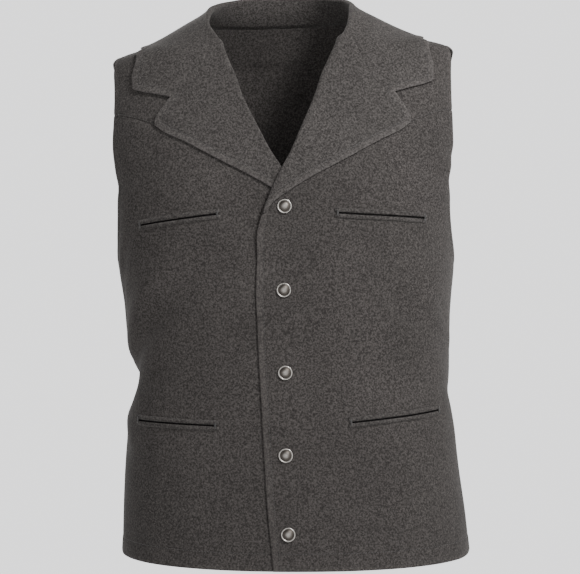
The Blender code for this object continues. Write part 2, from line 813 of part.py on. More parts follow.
def add_turned(name, profile, place, normal, material):
    """A turned piece: its half profile, from the axis round to the axis, on a Screw modifier."""
    mesh = bpy.data.meshes.new(name)
    edges = [(index, index + 1) for index in range(len(profile) - 1)]
    mesh.from_pydata([(radius, 0.0, height) for radius, height in profile], edges, [])
    mesh.materials.append(material)
    piece = bpy.data.objects.new(name, mesh)
    VEST_PARTS.objects.link(piece)
    screw = piece.modifiers.new("turn", "SCREW")
    screw.steps = SNAP_STEPS
    screw.render_steps = SNAP_STEPS
    screw.use_merge_vertices = True
    screw.merge_threshold = 0.00001
    piece.location = place
    piece.rotation_mode = "QUATERNION"
    piece.rotation_quaternion = normal.to_track_quat("Z", "Y")
    return piece


def add_snaps(metal):
    """Five domed caps on the left front, and the sockets' backs inside the right front."""
    for number, (x, height) in enumerate(SNAPS, start=1):
        chart = on_front(x, height)
        normal = body_frame(chart)[2]
        outside = CLOTH / 2.0 + SEAM_GAP
        add_turned(f"snap_{number}", SNAP_CAP, above(chart, left_lift(chart) + outside), normal, metal)
        add_turned(f"snap_back_{number}", SNAP_BACK, above(chart, -outside), normal, metal)


def main():
    wool = new_material(WOOL)
    wool_facing = new_material(WOOL_FACING)
    metal = new_material(SILVER)
    for word, side in (("left", 1.0), ("right", -1.0)):
        add_front(f"front_{word}", side, wool)
        add_yoke(f"yoke_{word}", side, wool)
        add_lapel(f"lapel_{word}", side, wool_facing)
    add_back("back", wool)
    add_collar("collar", wool_facing)
    for pocket in POCKETS:
        add_welts(pocket, wool_facing)
    add_snaps(metal)


for item in list(bpy.data.objects):
    bpy.data.objects.remove(item, do_unlink=True)
VEST_PARTS = bpy.data.collections.new(VEST)
bpy.context.scene.collection.children.link(VEST_PARTS)
main()
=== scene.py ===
# %% [markdown]
# # Dressing a western vest
# The imported model gives us a vest whose panels are plain solid walls. In this lesson each wall is
# replaced by a finer cloth of the same form, with pressed edges, soft creases, seams and stitches,
# and then it gets its wool, its snaps and a small studio. We start by loading the solids.

import json
import math
from collections import namedtuple
from functools import lru_cache

import bpy
import numpy as np
from mathutils import Matrix, Vector, noise

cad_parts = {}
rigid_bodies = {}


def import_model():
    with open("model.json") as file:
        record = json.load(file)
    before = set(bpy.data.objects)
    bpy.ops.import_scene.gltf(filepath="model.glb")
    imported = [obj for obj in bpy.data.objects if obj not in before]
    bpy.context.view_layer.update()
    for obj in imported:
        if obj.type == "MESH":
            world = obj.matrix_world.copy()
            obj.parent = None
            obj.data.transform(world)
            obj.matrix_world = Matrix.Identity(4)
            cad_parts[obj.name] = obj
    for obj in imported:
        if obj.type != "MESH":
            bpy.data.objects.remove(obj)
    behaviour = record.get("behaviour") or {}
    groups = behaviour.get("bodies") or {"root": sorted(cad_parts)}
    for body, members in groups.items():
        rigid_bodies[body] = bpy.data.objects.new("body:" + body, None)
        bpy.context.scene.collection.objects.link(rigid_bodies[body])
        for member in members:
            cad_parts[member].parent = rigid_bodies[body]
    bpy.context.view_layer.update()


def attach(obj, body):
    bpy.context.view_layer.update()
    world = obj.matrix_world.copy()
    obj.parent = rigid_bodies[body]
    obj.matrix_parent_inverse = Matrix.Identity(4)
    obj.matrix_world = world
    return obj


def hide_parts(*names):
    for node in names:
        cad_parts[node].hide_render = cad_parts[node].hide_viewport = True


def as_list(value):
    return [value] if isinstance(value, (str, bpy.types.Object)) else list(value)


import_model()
bpy.ops.object.select_all(action="DESELECT")

# %% [markdown]
# ## The camera
# The vest was photographed from straight ahead at chest height, from about three metres. A long lens
# at that distance gives the same flat perspective. The camera looks along +Y, level, at the middle
# of the garment, and everything in front of it and behind it stays sharp.

# %% Camera
CAMERA_PLACE = (0.0094, -3.0, -0.2997)
SENSOR_MM = 36.0
LENS_MM = 157.8
SIGHT = 60.0
bpy.ops.object.camera_add(location=CAMERA_PLACE, rotation=(math.pi / 2.0, 0.0, 0.0))
camera = bpy.context.object
camera.name = "studio_camera"
camera.data.sensor_width = SENSOR_MM
camera.data.lens = LENS_MM
camera.data.clip_end = SIGHT
bpy.context.scene.camera = camera
print("camera", tuple(camera.location), camera.data.lens, "mm")

# %% [markdown]
# ## Lights
# The vest was shot on white, lit from the upper right, and it falls into soft shade at the lower
# left. One area light, half a metre wide, does that. A faint one on the other side opens the shade,
# and one behind lights the back for other views.

# %% Lights
Light = namedtuple("Light", "name place size power")
LIGHTS = (
    Light("key", (1.05, -1.30, 1.10), 0.5, 73.0),
    Light("fill", (-0.60, -2.60, 0.90), 1.6, 2.0),
    Light("back", (-0.60, 1.90, 1.10), 1.4, 22.0),
)
CHEST = (0.0, -0.05, -0.30)


def area_light(light):
    """A square light that faces the chest, its size in metres and its power in watts."""
    away = Vector(light.place) - Vector(CHEST)
    turn = away.to_track_quat("Z", "Y").to_euler()
    bpy.ops.object.light_add(type="AREA", location=light.place, rotation=turn)
    lamp = bpy.context.object
    lamp.name = light.name
    lamp.data.size = light.size
    lamp.data.energy = light.power
    return lamp


lamps = [area_light(light) for light in LIGHTS]
print("lights", [lamp.name for lamp in lamps])

# %% [markdown]
# ## Room and floor
# The room is the world's own shader. Its strength follows the height of a direction, from -1 straight
# down to 1 straight up: it glows all round up to a little above the horizon, as a white studio does,
# and is dim overhead, so that folds keep their shade. The floor is one wide matt disc, far below the
# hem, since a worn vest stands on nothing.

# %% Room and floor
ROOM_COLOUR = (0.99, 0.99, 1.0, 1.0)
ROOM_GLOW = 1.75
ROOM_DIM = 0.30
GLOW_BAND = (0.12, 0.50)
FLOOR_COLOUR = (0.93, 0.93, 0.93, 1.0)
FLOOR_ROUGHNESS = 0.9
FLOOR_RADIUS = 3.2
FLOOR_HEIGHT = -1.05
FLOOR_CORNERS = 96

world = bpy.data.worlds.new("pale_room")
world.use_nodes = True
room = world.node_tree
direction = room.nodes.new("ShaderNodeTexCoord")
split = room.nodes.new("ShaderNodeSeparateXYZ")
glow = room.nodes.new("ShaderNodeMapRange")
glow.interpolation_type = "SMOOTHSTEP"
glow_range = {"From Min": GLOW_BAND[0], "From Max": GLOW_BAND[1], "To Min": ROOM_GLOW, "To Max": ROOM_DIM}
for name, value in glow_range.items():
    glow.inputs[name].default_value = value
room.links.new(direction.outputs["Generated"], split.inputs[0])
room.links.new(split.outputs["Z"], glow.inputs["Value"])
room.links.new(glow.outputs["Result"], room.nodes["Background"].inputs["Strength"])
room.nodes["Background"].inputs["Color"].default_value = ROOM_COLOUR
bpy.context.scene.world = world

bpy.ops.mesh.primitive_circle_add(vertices=FLOOR_CORNERS, radius=FLOOR_RADIUS, fill_type="NGON",
                                  location=(0.0, 0.0, FLOOR_HEIGHT))
floor = bpy.context.object
floor.name = "floor"
floor_paint = bpy.data.materials.new("pale_floor")
floor_paint.use_nodes = True
floor_paint.node_tree.nodes["Principled BSDF"].inputs["Base Color"].default_value = FLOOR_COLOUR
floor_paint.node_tree.nodes["Principled BSDF"].inputs["Roughness"].default_value = FLOOR_ROUGHNESS
floor.data.materials.append(floor_paint)
print("floor", floor.name, "at", FLOOR_HEIGHT)

# %% [markdown]
# ## The form of the worn garment
# A worn vest has no flat panel left in it: the cloth follows a chest, a waist and two shoulders. A
# tailor measures that form in rings, and so do we. Every ring is a rounded rectangle, with its half
# width, its depth in front and behind, and how square it is. Sway moves a ring aside, and tilt slants
# it, since one shoulder is lower. A point of cloth is named by how far round the body it is, its
# girth, and by its height, and `body` turns the two into a point in space. That pair is the chart, and
# a quarter of the way round counts 270 mm on it. Left and right are those of the vest when worn, so
# its left side is at +X.

# %% Rings of the body
QUARTER = 0.270
Section = namedtuple("Section", "height half_width front back squareness sway tilt")
SECTIONS = (
    Section(-0.640, 0.2060, 0.136, 0.113, 2.30, 0.0168, 0.000),
    Section(-0.600, 0.2030, 0.134, 0.110, 2.30, 0.0158, 0.000),
    Section(-0.500, 0.1945, 0.130, 0.100, 2.40, 0.0115, 0.000),
    Section(-0.400, 0.1880, 0.128, 0.097, 2.50, 0.0082, 0.000),
    Section(-0.340, 0.1895, 0.129, 0.103, 2.55, 0.0070, 0.000),
    Section(-0.270, 0.1965, 0.131, 0.112, 2.60, 0.0040, 0.000),
    Section(-0.200, 0.2015, 0.128, 0.117, 2.60, 0.0020, 0.003),
    Section(-0.150, 0.2045, 0.120, 0.115, 2.60, 0.0012, 0.008),
    Section(-0.100, 0.2065, 0.106, 0.108, 2.45, 0.0010, 0.016),
    Section(-0.075, 0.2070, 0.098, 0.103, 2.35, 0.0010, 0.028),
    Section(-0.050, 0.2065, 0.089, 0.096, 2.20, 0.0010, 0.034),
    Section(-0.035, 0.2035, 0.083, 0.091, 2.15, 0.0010, 0.037),
    Section(-0.026, 0.1965, 0.078, 0.086, 2.10, 0.0010, 0.038),
    Section(-0.013, 0.1560, 0.070, 0.080, 2.10, 0.0000, 0.038),
    Section(0.009, 0.1120, 0.058, 0.068, 2.05, -0.0010, 0.036),
    Section(0.028, 0.0800, 0.048, 0.056, 2.00, -0.0010, 0.034),
    Section(0.045, 0.0680, 0.043, 0.050, 2.00, -0.0010, 0.034),
    Section(0.060, 0.0640, 0.041, 0.047, 2.00, -0.0010, 0.034),
)


def mix(first, second, share):
    return first + (second - first) * share


def ease(low, high, value):
    """0 below low, 1 above high and a smooth step between."""
    share = min(max((value - low) / (high - low), 0.0), 1.0)
    return share * share * (3.0 - 2.0 * share)


def hermite(first, second, slope_first, slope_second, span, share):
    squared = share * share
    cubed = squared * share
    value = first * (2.0 * cubed - 3.0 * squared + 1.0) + second * (3.0 * squared - 2.0 * cubed)
    value = value + slope_first * (span * (cubed - 2.0 * squared + share))
    return value + slope_second * (span * (cubed - squared))


def ring_slopes():
    """How fast each measure changes at each ring, with no overshoot between rings."""
    steps = []
    for lower, upper in zip(SECTIONS, SECTIONS[1:]):
        rise = upper.height - lower.height
        steps.append([(b - a) / rise for a, b in zip(lower, upper)])
    slopes = [steps[0]]
    for below, above_it in zip(steps, steps[1:]):
        slopes.append([2.0 * a * b / (a + b) if a * b > 0.0 else 0.0 for a, b in zip(below, above_it)])
    slopes.append(steps[-1])
    return slopes


SLOPES = ring_slopes()


@lru_cache(maxsize=8192)
def section_at(height):
    index = 0
    while index < len(SECTIONS) - 2 and height > SECTIONS[index + 1].height:
        index += 1
    lower = SECTIONS[index]
    upper = SECTIONS[index + 1]
    span = upper.height - lower.height
    share = min(max((height - lower.height) / span, 0.0), 1.0)
    return Section(*(hermite(a, b, m, n, span, share)
                     for a, b, m, n in zip(lower, upper, SLOPES[index], SLOPES[index + 1])))


print("rings", len(SECTIONS), "chest half width", section_at(-0.15).half_width)

# %% [markdown]
# ## Creases, placed one by one
# Wool this thick doesn't crumple. It breaks into a few broad, soft folds where the waist pulls in and
# beside the armholes, and into smaller ripples between them. Each one is a
# row of the table: where it is, which way it runs, how long, wide and deep it is. A place's turn is 0
# in front, 1 at the left side, 2 behind and -1 at the right side. The first rows are
# the folds that the solids have as well, and the rest are the smaller ones, some on the back and
# sides too, since cloth wrinkles all round. No two rows are alike, so no pattern shows.

# %% Creases
Crease = namedtuple("Crease", "turn height angle length width depth")
MAIN_CREASES = (
    Crease(-1.00, -0.409, 4, 0.080, 0.024, -0.0140),
    Crease(-0.66, -0.362, 33, 0.070, 0.017, -0.0085),
    Crease(-0.62, -0.322, 38, 0.060, 0.016, 0.0045),
    Crease(0.62, -0.350, -38, 0.060, 0.018, -0.0035),
    Crease(0.55, -0.310, -60, 0.090, 0.030, 0.0040),
    Crease(0.66, -0.172, -14, 0.036, 0.011, -0.0030),
    Crease(-0.66, -0.178, 18, 0.036, 0.012, -0.0030),
    Crease(1.25, -0.400, 20, 0.080, 0.022, -0.0060),
    Crease(1.55, -0.360, 32, 0.090, 0.020, -0.0050),
    Crease(2.45, -0.375, -28, 0.090, 0.022, -0.0060),
    Crease(2.75, -0.415, -12, 0.070, 0.020, -0.0055),
    Crease(2.00, -0.250, 90, 0.120, 0.045, -0.0060),
)
SMALL_CREASES = (
    Crease(-0.80, -0.300, 52, 0.055, 0.010, -0.0022),
    Crease(-0.74, -0.262, 61, 0.045, 0.009, 0.0015),
    Crease(-0.83, -0.222, 70, 0.040, 0.010, -0.0018),
    Crease(-0.48, -0.398, 24, 0.050, 0.012, -0.0016),
    Crease(-0.88, -0.455, -16, 0.050, 0.013, 0.0018),
    Crease(-0.76, -0.500, -24, 0.060, 0.016, -0.0014),
    Crease(0.58, -0.192, -9, 0.030, 0.007, 0.0014),
    Crease(0.72, -0.148, -22, 0.028, 0.008, -0.0016),
    Crease(0.70, -0.330, -42, 0.034, 0.009, -0.0022),
    Crease(0.80, -0.352, -30, 0.034, 0.010, 0.0014),
    Crease(0.86, -0.420, -8, 0.040, 0.012, -0.0020),
    Crease(0.30, -0.520, 82, 0.070, 0.016, -0.0010),
    Crease(-0.30, -0.540, 97, 0.060, 0.018, -0.0010),
    Crease(1.10, -0.330, 40, 0.060, 0.014, -0.0024),
    Crease(1.70, -0.420, 14, 0.070, 0.014, -0.0022),
    Crease(2.20, -0.395, -10, 0.080, 0.015, -0.0024),
    Crease(2.90, -0.350, -44, 0.060, 0.015, -0.0026),
    Crease(1.62, -0.130, 64, 0.070, 0.016, -0.0018),
    Crease(2.38, -0.140, -66, 0.070, 0.016, -0.0020),
    Crease(2.10, -0.540, 84, 0.060, 0.020, 0.0016),
    Crease(1.36, -0.545, 98, 0.055, 0.020, -0.0014),
)
CREASES = MAIN_CREASES + SMALL_CREASES
RIPPLES = ((16.0, 0.0011), (38.0, 0.0004))
RIPPLE_RADIUS = 0.170
FIRM_PLACKET = (0.016, 0.060)
CREASE_REACH = 0.25


def crease_depth(girth, height):
    """How far folds and ripples push the cloth out at a point of the chart."""
    depth = 0.0
    for crease in CREASES:
        across = ((girth / QUARTER - crease.turn + 2.0) % 4.0 - 2.0) * QUARTER
        up = height - crease.height
        if abs(across) > CREASE_REACH or abs(up) > CREASE_REACH:
            continue
        angle = math.radians(crease.angle)
        along = (across * math.cos(angle) + up * math.sin(angle)) / crease.length
        aside = (up * math.cos(angle) - across * math.sin(angle)) / crease.width
        depth += crease.depth * math.exp(-along * along - aside * aside)
    turn = girth / QUARTER * math.pi / 2.0
    spot = Vector((RIPPLE_RADIUS * math.sin(turn), RIPPLE_RADIUS * math.cos(turn), height))
    soft = ease(*FIRM_PLACKET, abs(girth))
    for scale, size in RIPPLES:
        depth += size * soft * noise.noise(spot * scale)
    return depth


print("creases", len(CREASES))

# %% [markdown]
# ## From the chart to space
# `body` gives the place of a chart point, and `above` the same point lifted off the form, which is how
# a lapel lies on a front without touching it. A few helpers go the other way, from a measurement seen
# from the front or the side back to the chart.

# %% Chart helpers
PROBE = 0.0004
SHARE_PROBE = 0.004
CHEST_MIDDLE = Vector((0.0, 0.0, -0.120))
REACH_LIMITS = (0.6, 1.4)
REACH_HALVINGS = 22
TILT_ROUNDS = 3


def body(chart):
    girth, height = chart
    section = section_at(height)
    angle = girth / QUARTER * math.pi / 2.0
    side = math.sin(angle)
    face = math.cos(angle)
    power = section.squareness
    reach = (abs(side) ** power + abs(face) ** power) ** (-1.0 / power)
    depth = section.front if face > 0.0 else section.back
    x = section.half_width * side * reach
    y = -depth * face * reach
    out_x = math.copysign(abs(side) ** (power - 1.0), side) / section.half_width
    out_y = -math.copysign(abs(face) ** (power - 1.0), face) / depth
    push = crease_depth(girth, height) / math.hypot(out_x, out_y)
    return Vector((x + section.sway + push * out_x, y + push * out_y, height + section.tilt * x))


def body_frame(chart):
    """Two tangents of the form, per metre of girth and of height, and the normal that points out."""
    girth, height = chart
    around = (body((girth + PROBE, height)) - body((girth - PROBE, height))) / (2.0 * PROBE)
    upward = (body((girth, height + PROBE)) - body((girth, height - PROBE))) / (2.0 * PROBE)
    return around, upward, around.cross(upward).normalized()


def above(chart, lift):
    return body(chart) + body_frame(chart)[2] * lift


def on_front(x, height):
    """The chart point of a place seen from the front."""
    section = section_at(height)
    power = section.squareness
    side = min(abs(x) / section.half_width, 1.0)
    face = (1.0 - side ** power) ** (1.0 / power)
    return Vector((math.copysign(math.atan2(side, face) * 2.0 / math.pi * QUARTER, x), height))


def front_view(chart):
    """The place that on_front turns into a chart point."""
    return Vector((body(chart).x - section_at(chart[1]).sway, chart[1]))


def radial(point):
    """The chart point in line with a point in space, seen from the middle of the chest."""
    low, high = REACH_LIMITS
    for _ in range(REACH_HALVINGS):
        reach = (low + high) / 2.0
        spot = mix(CHEST_MIDDLE, point, reach)
        height = spot.z
        for _ in range(TILT_ROUNDS):
            section = section_at(height)
            height = spot.z - section.tilt * (spot.x - section.sway)
        side = (spot.x - section.sway) / section.half_width
        face = -spot.y / (section.front if spot.y < 0.0 else section.back)
        if abs(side) ** section.squareness + abs(face) ** section.squareness < 1.0:
            low = reach
        else:
            high = reach
    return at_turn(math.atan2(side, face) * 2.0 / math.pi % 4.0, height)


def at_turn(turn, height):
    return Vector((turn * QUARTER, height))


def on_left_side(y, height):
    """The chart point of a place seen from the left side."""
    section = section_at(height)
    power = section.squareness
    face = abs(y) / (section.front if y < 0.0 else section.back)
    side = (1.0 - face ** power) ** (1.0 / power)
    turn = math.atan2(side, face) * 2.0 / math.pi
    return at_turn(turn if y < 0.0 else 2.0 - turn, height)


def mirrored(points, side):
    return [Vector((point[0] * side, point[1])) for point in points]


def behind(points):
    """The same points counted on round the back, from the right side."""
    return [Vector((4.0 * QUARTER - point[0], point[1])) for point in points]


print("middle of the chest", tuple(round(value, 4) for value in body((0.0, -0.2))))

# %% [markdown]
# ## Curves and patches
# A cut edge is a smooth curve through a few measured points, and a panel is the patch of chart that
# four such edges enclose. `beside` steps a small distance off a curve, square to it, which places the
# two plies of a fold. This is what a draper does with pins and a tape, before any cloth is cut.

# %% Curves
class Path:
    """A smooth curve through chart points."""

    def __init__(self, points):
        self.points = [Vector(point) for point in points]
        self.knots = [0.0]
        for before, after in zip(self.points, self.points[1:]):
            self.knots.append(self.knots[-1] + (after - before).length)
        steps = []
        for index in range(len(self.points) - 1):
            span = self.knots[index + 1] - self.knots[index]
            steps.append((self.points[index + 1] - self.points[index]) / span)
        middle = []
        for index in range(len(steps) - 1):
            before = self.knots[index + 1] - self.knots[index]
            after = self.knots[index + 2] - self.knots[index + 1]
            middle.append((steps[index] * after + steps[index + 1] * before) / (before + after))
        first = steps[0] * 1.5 - middle[0] * 0.5 if middle else steps[0]
        last = steps[-1] * 1.5 - middle[-1] * 0.5 if middle else steps[-1]
        self.slopes = [first, *middle, last]

    def at(self, knot):
        index = 0
        while index < len(self.knots) - 2 and knot > self.knots[index + 1]:
            index += 1
        span = self.knots[index + 1] - self.knots[index]
        share = (knot - self.knots[index]) / span
        return hermite(self.points[index], self.points[index + 1],
                       self.slopes[index], self.slopes[index + 1], span, share)

    def stretch(self, first=0, last=-1):
        start = self.knots[first]
        end = self.knots[last]
        return lambda share: self.at(mix(start, end, share))


def traced(points, turn):
    """The chart curve that is smooth in the front view, turned to its own side."""
    curve = Path(points).stretch()
    return lambda share: turn([on_front(*curve(share))])[0]


def patch(bottom, top, left, right, fade=1.0, power=1, level=False):
    """The surface that spans four edges, each a function of a share."""

    def at(across, share):
        up = share
        if level:
            up = (left(share)[1] - left(0.0)[1]) / (left(1.0)[1] - left(0.0)[1])
        bow_left = left(share) - mix(bottom(0.0), top(0.0), up)
        bow_right = right(share) - mix(bottom(1.0), top(1.0), up)
        near_left = max(1.0 - across / fade, 0.0) ** power
        near_right = max(1.0 - (1.0 - across) / fade, 0.0) ** power
        return mix(bottom(across), top(across), up) + bow_left * near_left + bow_right * near_right

    return at


def cornered(first, second, corner):
    """Two curves end to end, the corner between them at a share of its own."""

    def at(share):
        if share <= corner:
            return first(share / corner)
        return second((share - corner) / (1.0 - corner))

    return at


def halved(high, rounds, falls_short):
    """Where between 0 and high falls_short stops being true, found by halving."""
    low = 0.0
    for _ in range(rounds):
        middle = (low + high) / 2.0
        if falls_short(middle):
            low = middle
        else:
            high = middle
    return low


def beside(path, share, distance, side=1.0):
    """The chart point a short distance from a path, square to it."""
    chart = path(share)
    around, upward, normal = body_frame(chart)
    tangent = (body(path(share + SHARE_PROBE)) - body(path(share - SHARE_PROBE))).normalized()
    square = tangent.cross(normal).normalized() * (side * distance)
    slant = around.dot(upward)
    metric = Matrix(((around.dot(around), slant), (slant, upward.dot(upward))))
    return chart + metric.inverted() @ Vector((square.dot(around), square.dot(upward)))


upright = Path([(0.0, -0.30), (0.0, -0.20)]).stretch()
print("10 mm beside the front's middle", tuple(round(value, 4) for value in beside(upright, 0.5, 0.010)))

# %% [markdown]
# ## The cut of the vest
# These tables are the vest's pattern: where the lapel folds back, the front edge, the shoulder yoke's
# seam, the notch of the collar, the armholes and the hem. Measures are metres from the middle of the
# front, or for the armholes metres behind the shoulder line, and heights from the neck, negative
# below it. The hem and the collar's stations are placed by their turn instead.

# %% Pattern tables
CLOTH = 0.0020
SEAM_LAP = 0.0004
SNAP_STAND = 0.0003
PLY_PITCH = 0.0026
LAPEL_PLY = 0.0036
FoldRow = namedtuple("FoldRow", "height left right")
FOLD_ROWS = (
    FoldRow(-0.217, -0.0219, -0.0219),
    FoldRow(-0.192, -0.0121, -0.0105),
    FoldRow(-0.165, 0.0014, 0.0030),
    FoldRow(-0.150, 0.0098, 0.0130),
    FoldRow(-0.120, 0.0228, 0.0290),
    FoldRow(-0.084, 0.0378, 0.0465),
    FoldRow(-0.050, 0.0500, 0.0585),
    FoldRow(-0.022, 0.0628, 0.0690),
    FoldRow(-0.012, 0.0716, 0.0742),
    FoldRow(-0.004, 0.0760, 0.0788),
    FoldRow(0.005, 0.0785, 0.0835),
    FoldRow(0.018, 0.0800, 0.0835),
)
GORGE_ROW = 9
FRONT_EDGE = (
    (-0.0250, -0.620), (-0.0290, -0.557), (-0.0305, -0.495), (-0.0315, -0.4425), (-0.0338, -0.359),
    (-0.0343, -0.3065), (-0.0314, -0.269), (-0.0297, -0.235), (-0.0243, -0.218),
)
YOKE_SEAM = ((0.070, -0.131), (0.110, -0.125), (0.142, -0.1145), (0.164, -0.1060), (0.182, -0.1005))
LAPEL_LOWER_EDGE = (
    (-0.012, -0.2050), (0.006, -0.1920), (0.030, -0.1775), (0.070, -0.1560), (0.110, -0.1340),
    (0.1385, -0.1190), (0.1450, -0.1135),
)
LAPEL_TOP_EDGE = (
    (0.1450, -0.1135), (0.1455, -0.1080), (0.1410, -0.0990), (0.1345, -0.0900), (0.1270, -0.0793),
)
GORGE_SEAM = ((0.0855, -0.0280), (0.0960, -0.0505), (0.1090, -0.0710), (0.1270, -0.0793))
COLLAR_FRONT_EDGE = ((0.1270, -0.0793), (0.1450, -0.0745), (0.1655, -0.0690), (0.1715, -0.0665))
ARMHOLE_FRONT = (
    (0.000, -0.268), (-0.028, -0.258), (-0.047, -0.235), (-0.0555, -0.200), (-0.054, -0.170),
    (-0.048, -0.135), (-0.0448, -0.0975),
)
ARMHOLE_YOKE = ((-0.0448, -0.0975), (-0.0388, -0.070), (-0.0300, -0.045), (-0.0200, -0.0265))
ARMHOLE_BACK = (
    (0.000, -0.268), (0.026, -0.259), (0.046, -0.238), (0.056, -0.200), (0.056, -0.160), (0.052, -0.120),
    (0.047, -0.085), (0.037, -0.055), (0.022, -0.037), (0.000, -0.0290), (-0.0200, -0.0265),
)
HEM = ((-0.20, -0.6205), (0.30, -0.6195), (0.70, -0.6140), (1.00, -0.6090), (1.40, -0.6130), (2.00, -0.6210))
Station = namedtuple("Station", "fold seam edge")
STATIONS = (
    Station((0.90, 0.0270), (0.90, 0.0125), (0.90, -0.0165)),
    Station((1.12, 0.0335), (1.12, 0.0125), (1.10, -0.0145)),
    Station((1.40, 0.0400), (1.40, 0.0122), (1.38, -0.0175)),
    Station((1.70, 0.0450), (1.70, 0.0120), (1.68, -0.0225)),
    Station((2.00, 0.0470), (2.00, 0.0120), (2.00, -0.0300)),
)
NECK_SEAM_FRONT = ((0.0865, 0.0030), (0.0985, 0.0095))
COLLAR_EDGE_FRONT = ((0.1725, -0.0500), (0.1690, -0.0340), (0.1660, -0.0215))
print("pattern rows", len(FRONT_EDGE) + len(ARMHOLE_FRONT) + len(ARMHOLE_BACK) + len(FOLD_ROWS))

# %% [markdown]
# ## How plies lie on each other
# The left front laps over the right front, and its edge over the other lapel, so it is lifted
# there by the thickness of what it covers. A lapel's fold is a half circle of cloth, tight at the
# break and rounder at the neck, and beyond it the upper ply settles onto the cloth below.

# %% Laps and folds
FOLD_REACH = 0.0012
FOLD_LEG = 0.0031
BODY_EDGE = FOLD_LEG - SEAM_LAP / 2.0
FOLD_RADII = (0.0013, 0.0027)
FOLD_OPENS = (0.22, 0.50)
FOLD_SETTLES = 0.0080
FOLD_STEPS = 12
LAPEL_START = 0.002
GORGE_SHARE = 0.66
COLLAR_END_FADE = 0.30
FRONT_BELOW_X = (0.047, 0.130)
FRONT_BELOW_TOP = (-0.165, -0.075)
LAPEL_BELOW_X = (0.030, 0.110)
LAPEL_BELOW_FOOT = (-0.275, -0.222)
LAPEL_BELOW_TOP = (-0.155, -0.075)
HEM_HALVINGS = 40
YOKE_HALVINGS = 30


def left_lift(chart):
    """How far the left front is raised at a chart point by what it covers."""
    if abs(chart[0]) > QUARTER:
        return 0.0
    x = body(chart).x
    height = chart[1]
    over_front = (1.0 - ease(*FRONT_BELOW_X, x)) * (1.0 - ease(*FRONT_BELOW_TOP, height))
    over_lapel = (1.0 - ease(*LAPEL_BELOW_X, x)) * ease(*LAPEL_BELOW_FOOT, height)
    over_lapel *= 1.0 - ease(*LAPEL_BELOW_TOP, height)
    return PLY_PITCH * (over_front + over_lapel)


def no_lift(chart):
    return 0.0


def lift_of(side):
    return left_lift if side > 0.0 else no_lift


def fold_path(side):
    """The line on which lapel and collar fold, from the break to the middle of the back."""
    points = [on_front(row.left if side > 0.0 else row.right, row.height) for row in FOLD_ROWS]
    points.extend(at_turn(*station.fold) for station in STATIONS)
    return Path(mirrored(points, side))


def fold_radius(share):
    return mix(*FOLD_RADII, ease(*FOLD_OPENS, share))


def fold_profile(radius):
    """The fold's section from its lower ply round to its upper one: distance from the fold, height."""
    centre = radius - FOLD_REACH
    turns = [math.pi * step / FOLD_STEPS for step in range(FOLD_STEPS + 1)]
    return [(centre - radius * math.sin(turn), radius - radius * math.cos(turn)) for turn in turns]


def upper_ply(radius, distance):
    """How high the upper ply lies above the form, at a distance from its fold."""
    settled = min(2.0 * radius, LAPEL_PLY)
    return settled + (2.0 * radius - settled) * math.exp(-distance / FOLD_SETTLES)


def hem(first_turn, last_turn):
    """The hem between two turns, as a curve of the chart."""
    path = Path([at_turn(*row) for row in HEM])
    start = first_turn * QUARTER
    end = last_turn * QUARTER

    def at(share):
        girth = mix(start, end, share)
        knot = halved(path.knots[-1], HEM_HALVINGS, lambda tried: path.at(tried)[0] < girth)
        return Vector((girth, path.at(knot)[1]))

    return at


def neck_seam(side):
    """The seam between collar and neck, from the gorge to the middle of the back."""
    points = [beside(fold_path(side).stretch(0, GORGE_ROW), 1.0, BODY_EDGE, side)]
    points.extend(mirrored([on_front(*row) for row in NECK_SEAM_FRONT], side))
    points.extend(mirrored([at_turn(*station.seam) for station in STATIONS], side))
    return Path(points)


SHOULDER_POINT = len(NECK_SEAM_FRONT) + 1


def yoke_seam(side):
    """Where along the fold the yoke's seam starts, and the seam from there to the armhole."""
    fold = fold_path(side).stretch(0, GORGE_ROW)
    start = halved(1.0, YOKE_HALVINGS, lambda share: fold(share)[1] < YOKE_SEAM[0][1])
    points = mirrored([on_front(*row) for row in YOKE_SEAM], side)
    points.extend(mirrored([on_left_side(*ARMHOLE_FRONT[-1])], side))
    return start, Path([beside(fold, start, BODY_EDGE, side), *points])


print("yoke seam meets the fold at share", round(yoke_seam(1.0)[0], 3))

# %% [markdown]
# ## Cloth with pressed edges
# A pressed and topstitched edge isn't a sharp cut. The turned-in cloth makes a plump band along it,
# the stitches pull a narrow groove at its inner side, and the very edge is round. So a panel's grid
# gets close rows near its edges, the wall gets thin at the rim, and every point is raised or lowered
# by its true distance to the nearest finished edge. Those distances are kept on the mesh too, so that
# the material can brush the nap up along a worn edge, and paint a highlight on the stitched band, in
# place of the light that the rolled edge catches.

# %% Cloth helpers
RIM = (0.0, 0.0004, 0.0011, 0.0024)
RIM_WALL = (0.34, 0.74, 0.93)
BAND_ROWS = (*RIM, 0.0045, 0.0060, 0.0070, 0.0076, 0.0082, 0.0090, 0.0102, 0.0125)
HEM_ROWS = (*RIM, 0.0060, 0.0120, 0.0165, 0.0185, 0.0195, 0.0202, 0.0210, 0.0222, 0.0250)
STITCH_IN = 0.0079
HEM_STITCH_IN = 0.0201
TINY = 1e-12


def stops(length, low_rows, high_rows, pitch):
    """Shares across a piece: close rows at both edges, even ones between."""
    start = [row / length for row in low_rows]
    end = [1.0 - row / length for row in reversed(high_rows)]
    cells = max(2, round((end[0] - start[-1]) * length / pitch))
    between = [mix(start[-1], end[0], step / cells) for step in range(1, cells)]
    return start + between + end


def sewn(share, length):
    """A share moved out at both ends, so that neighbours meet inside their seam."""
    margin = SEAM_LAP / 2.0 / length
    return mix(-margin, 1.0 + margin, share)


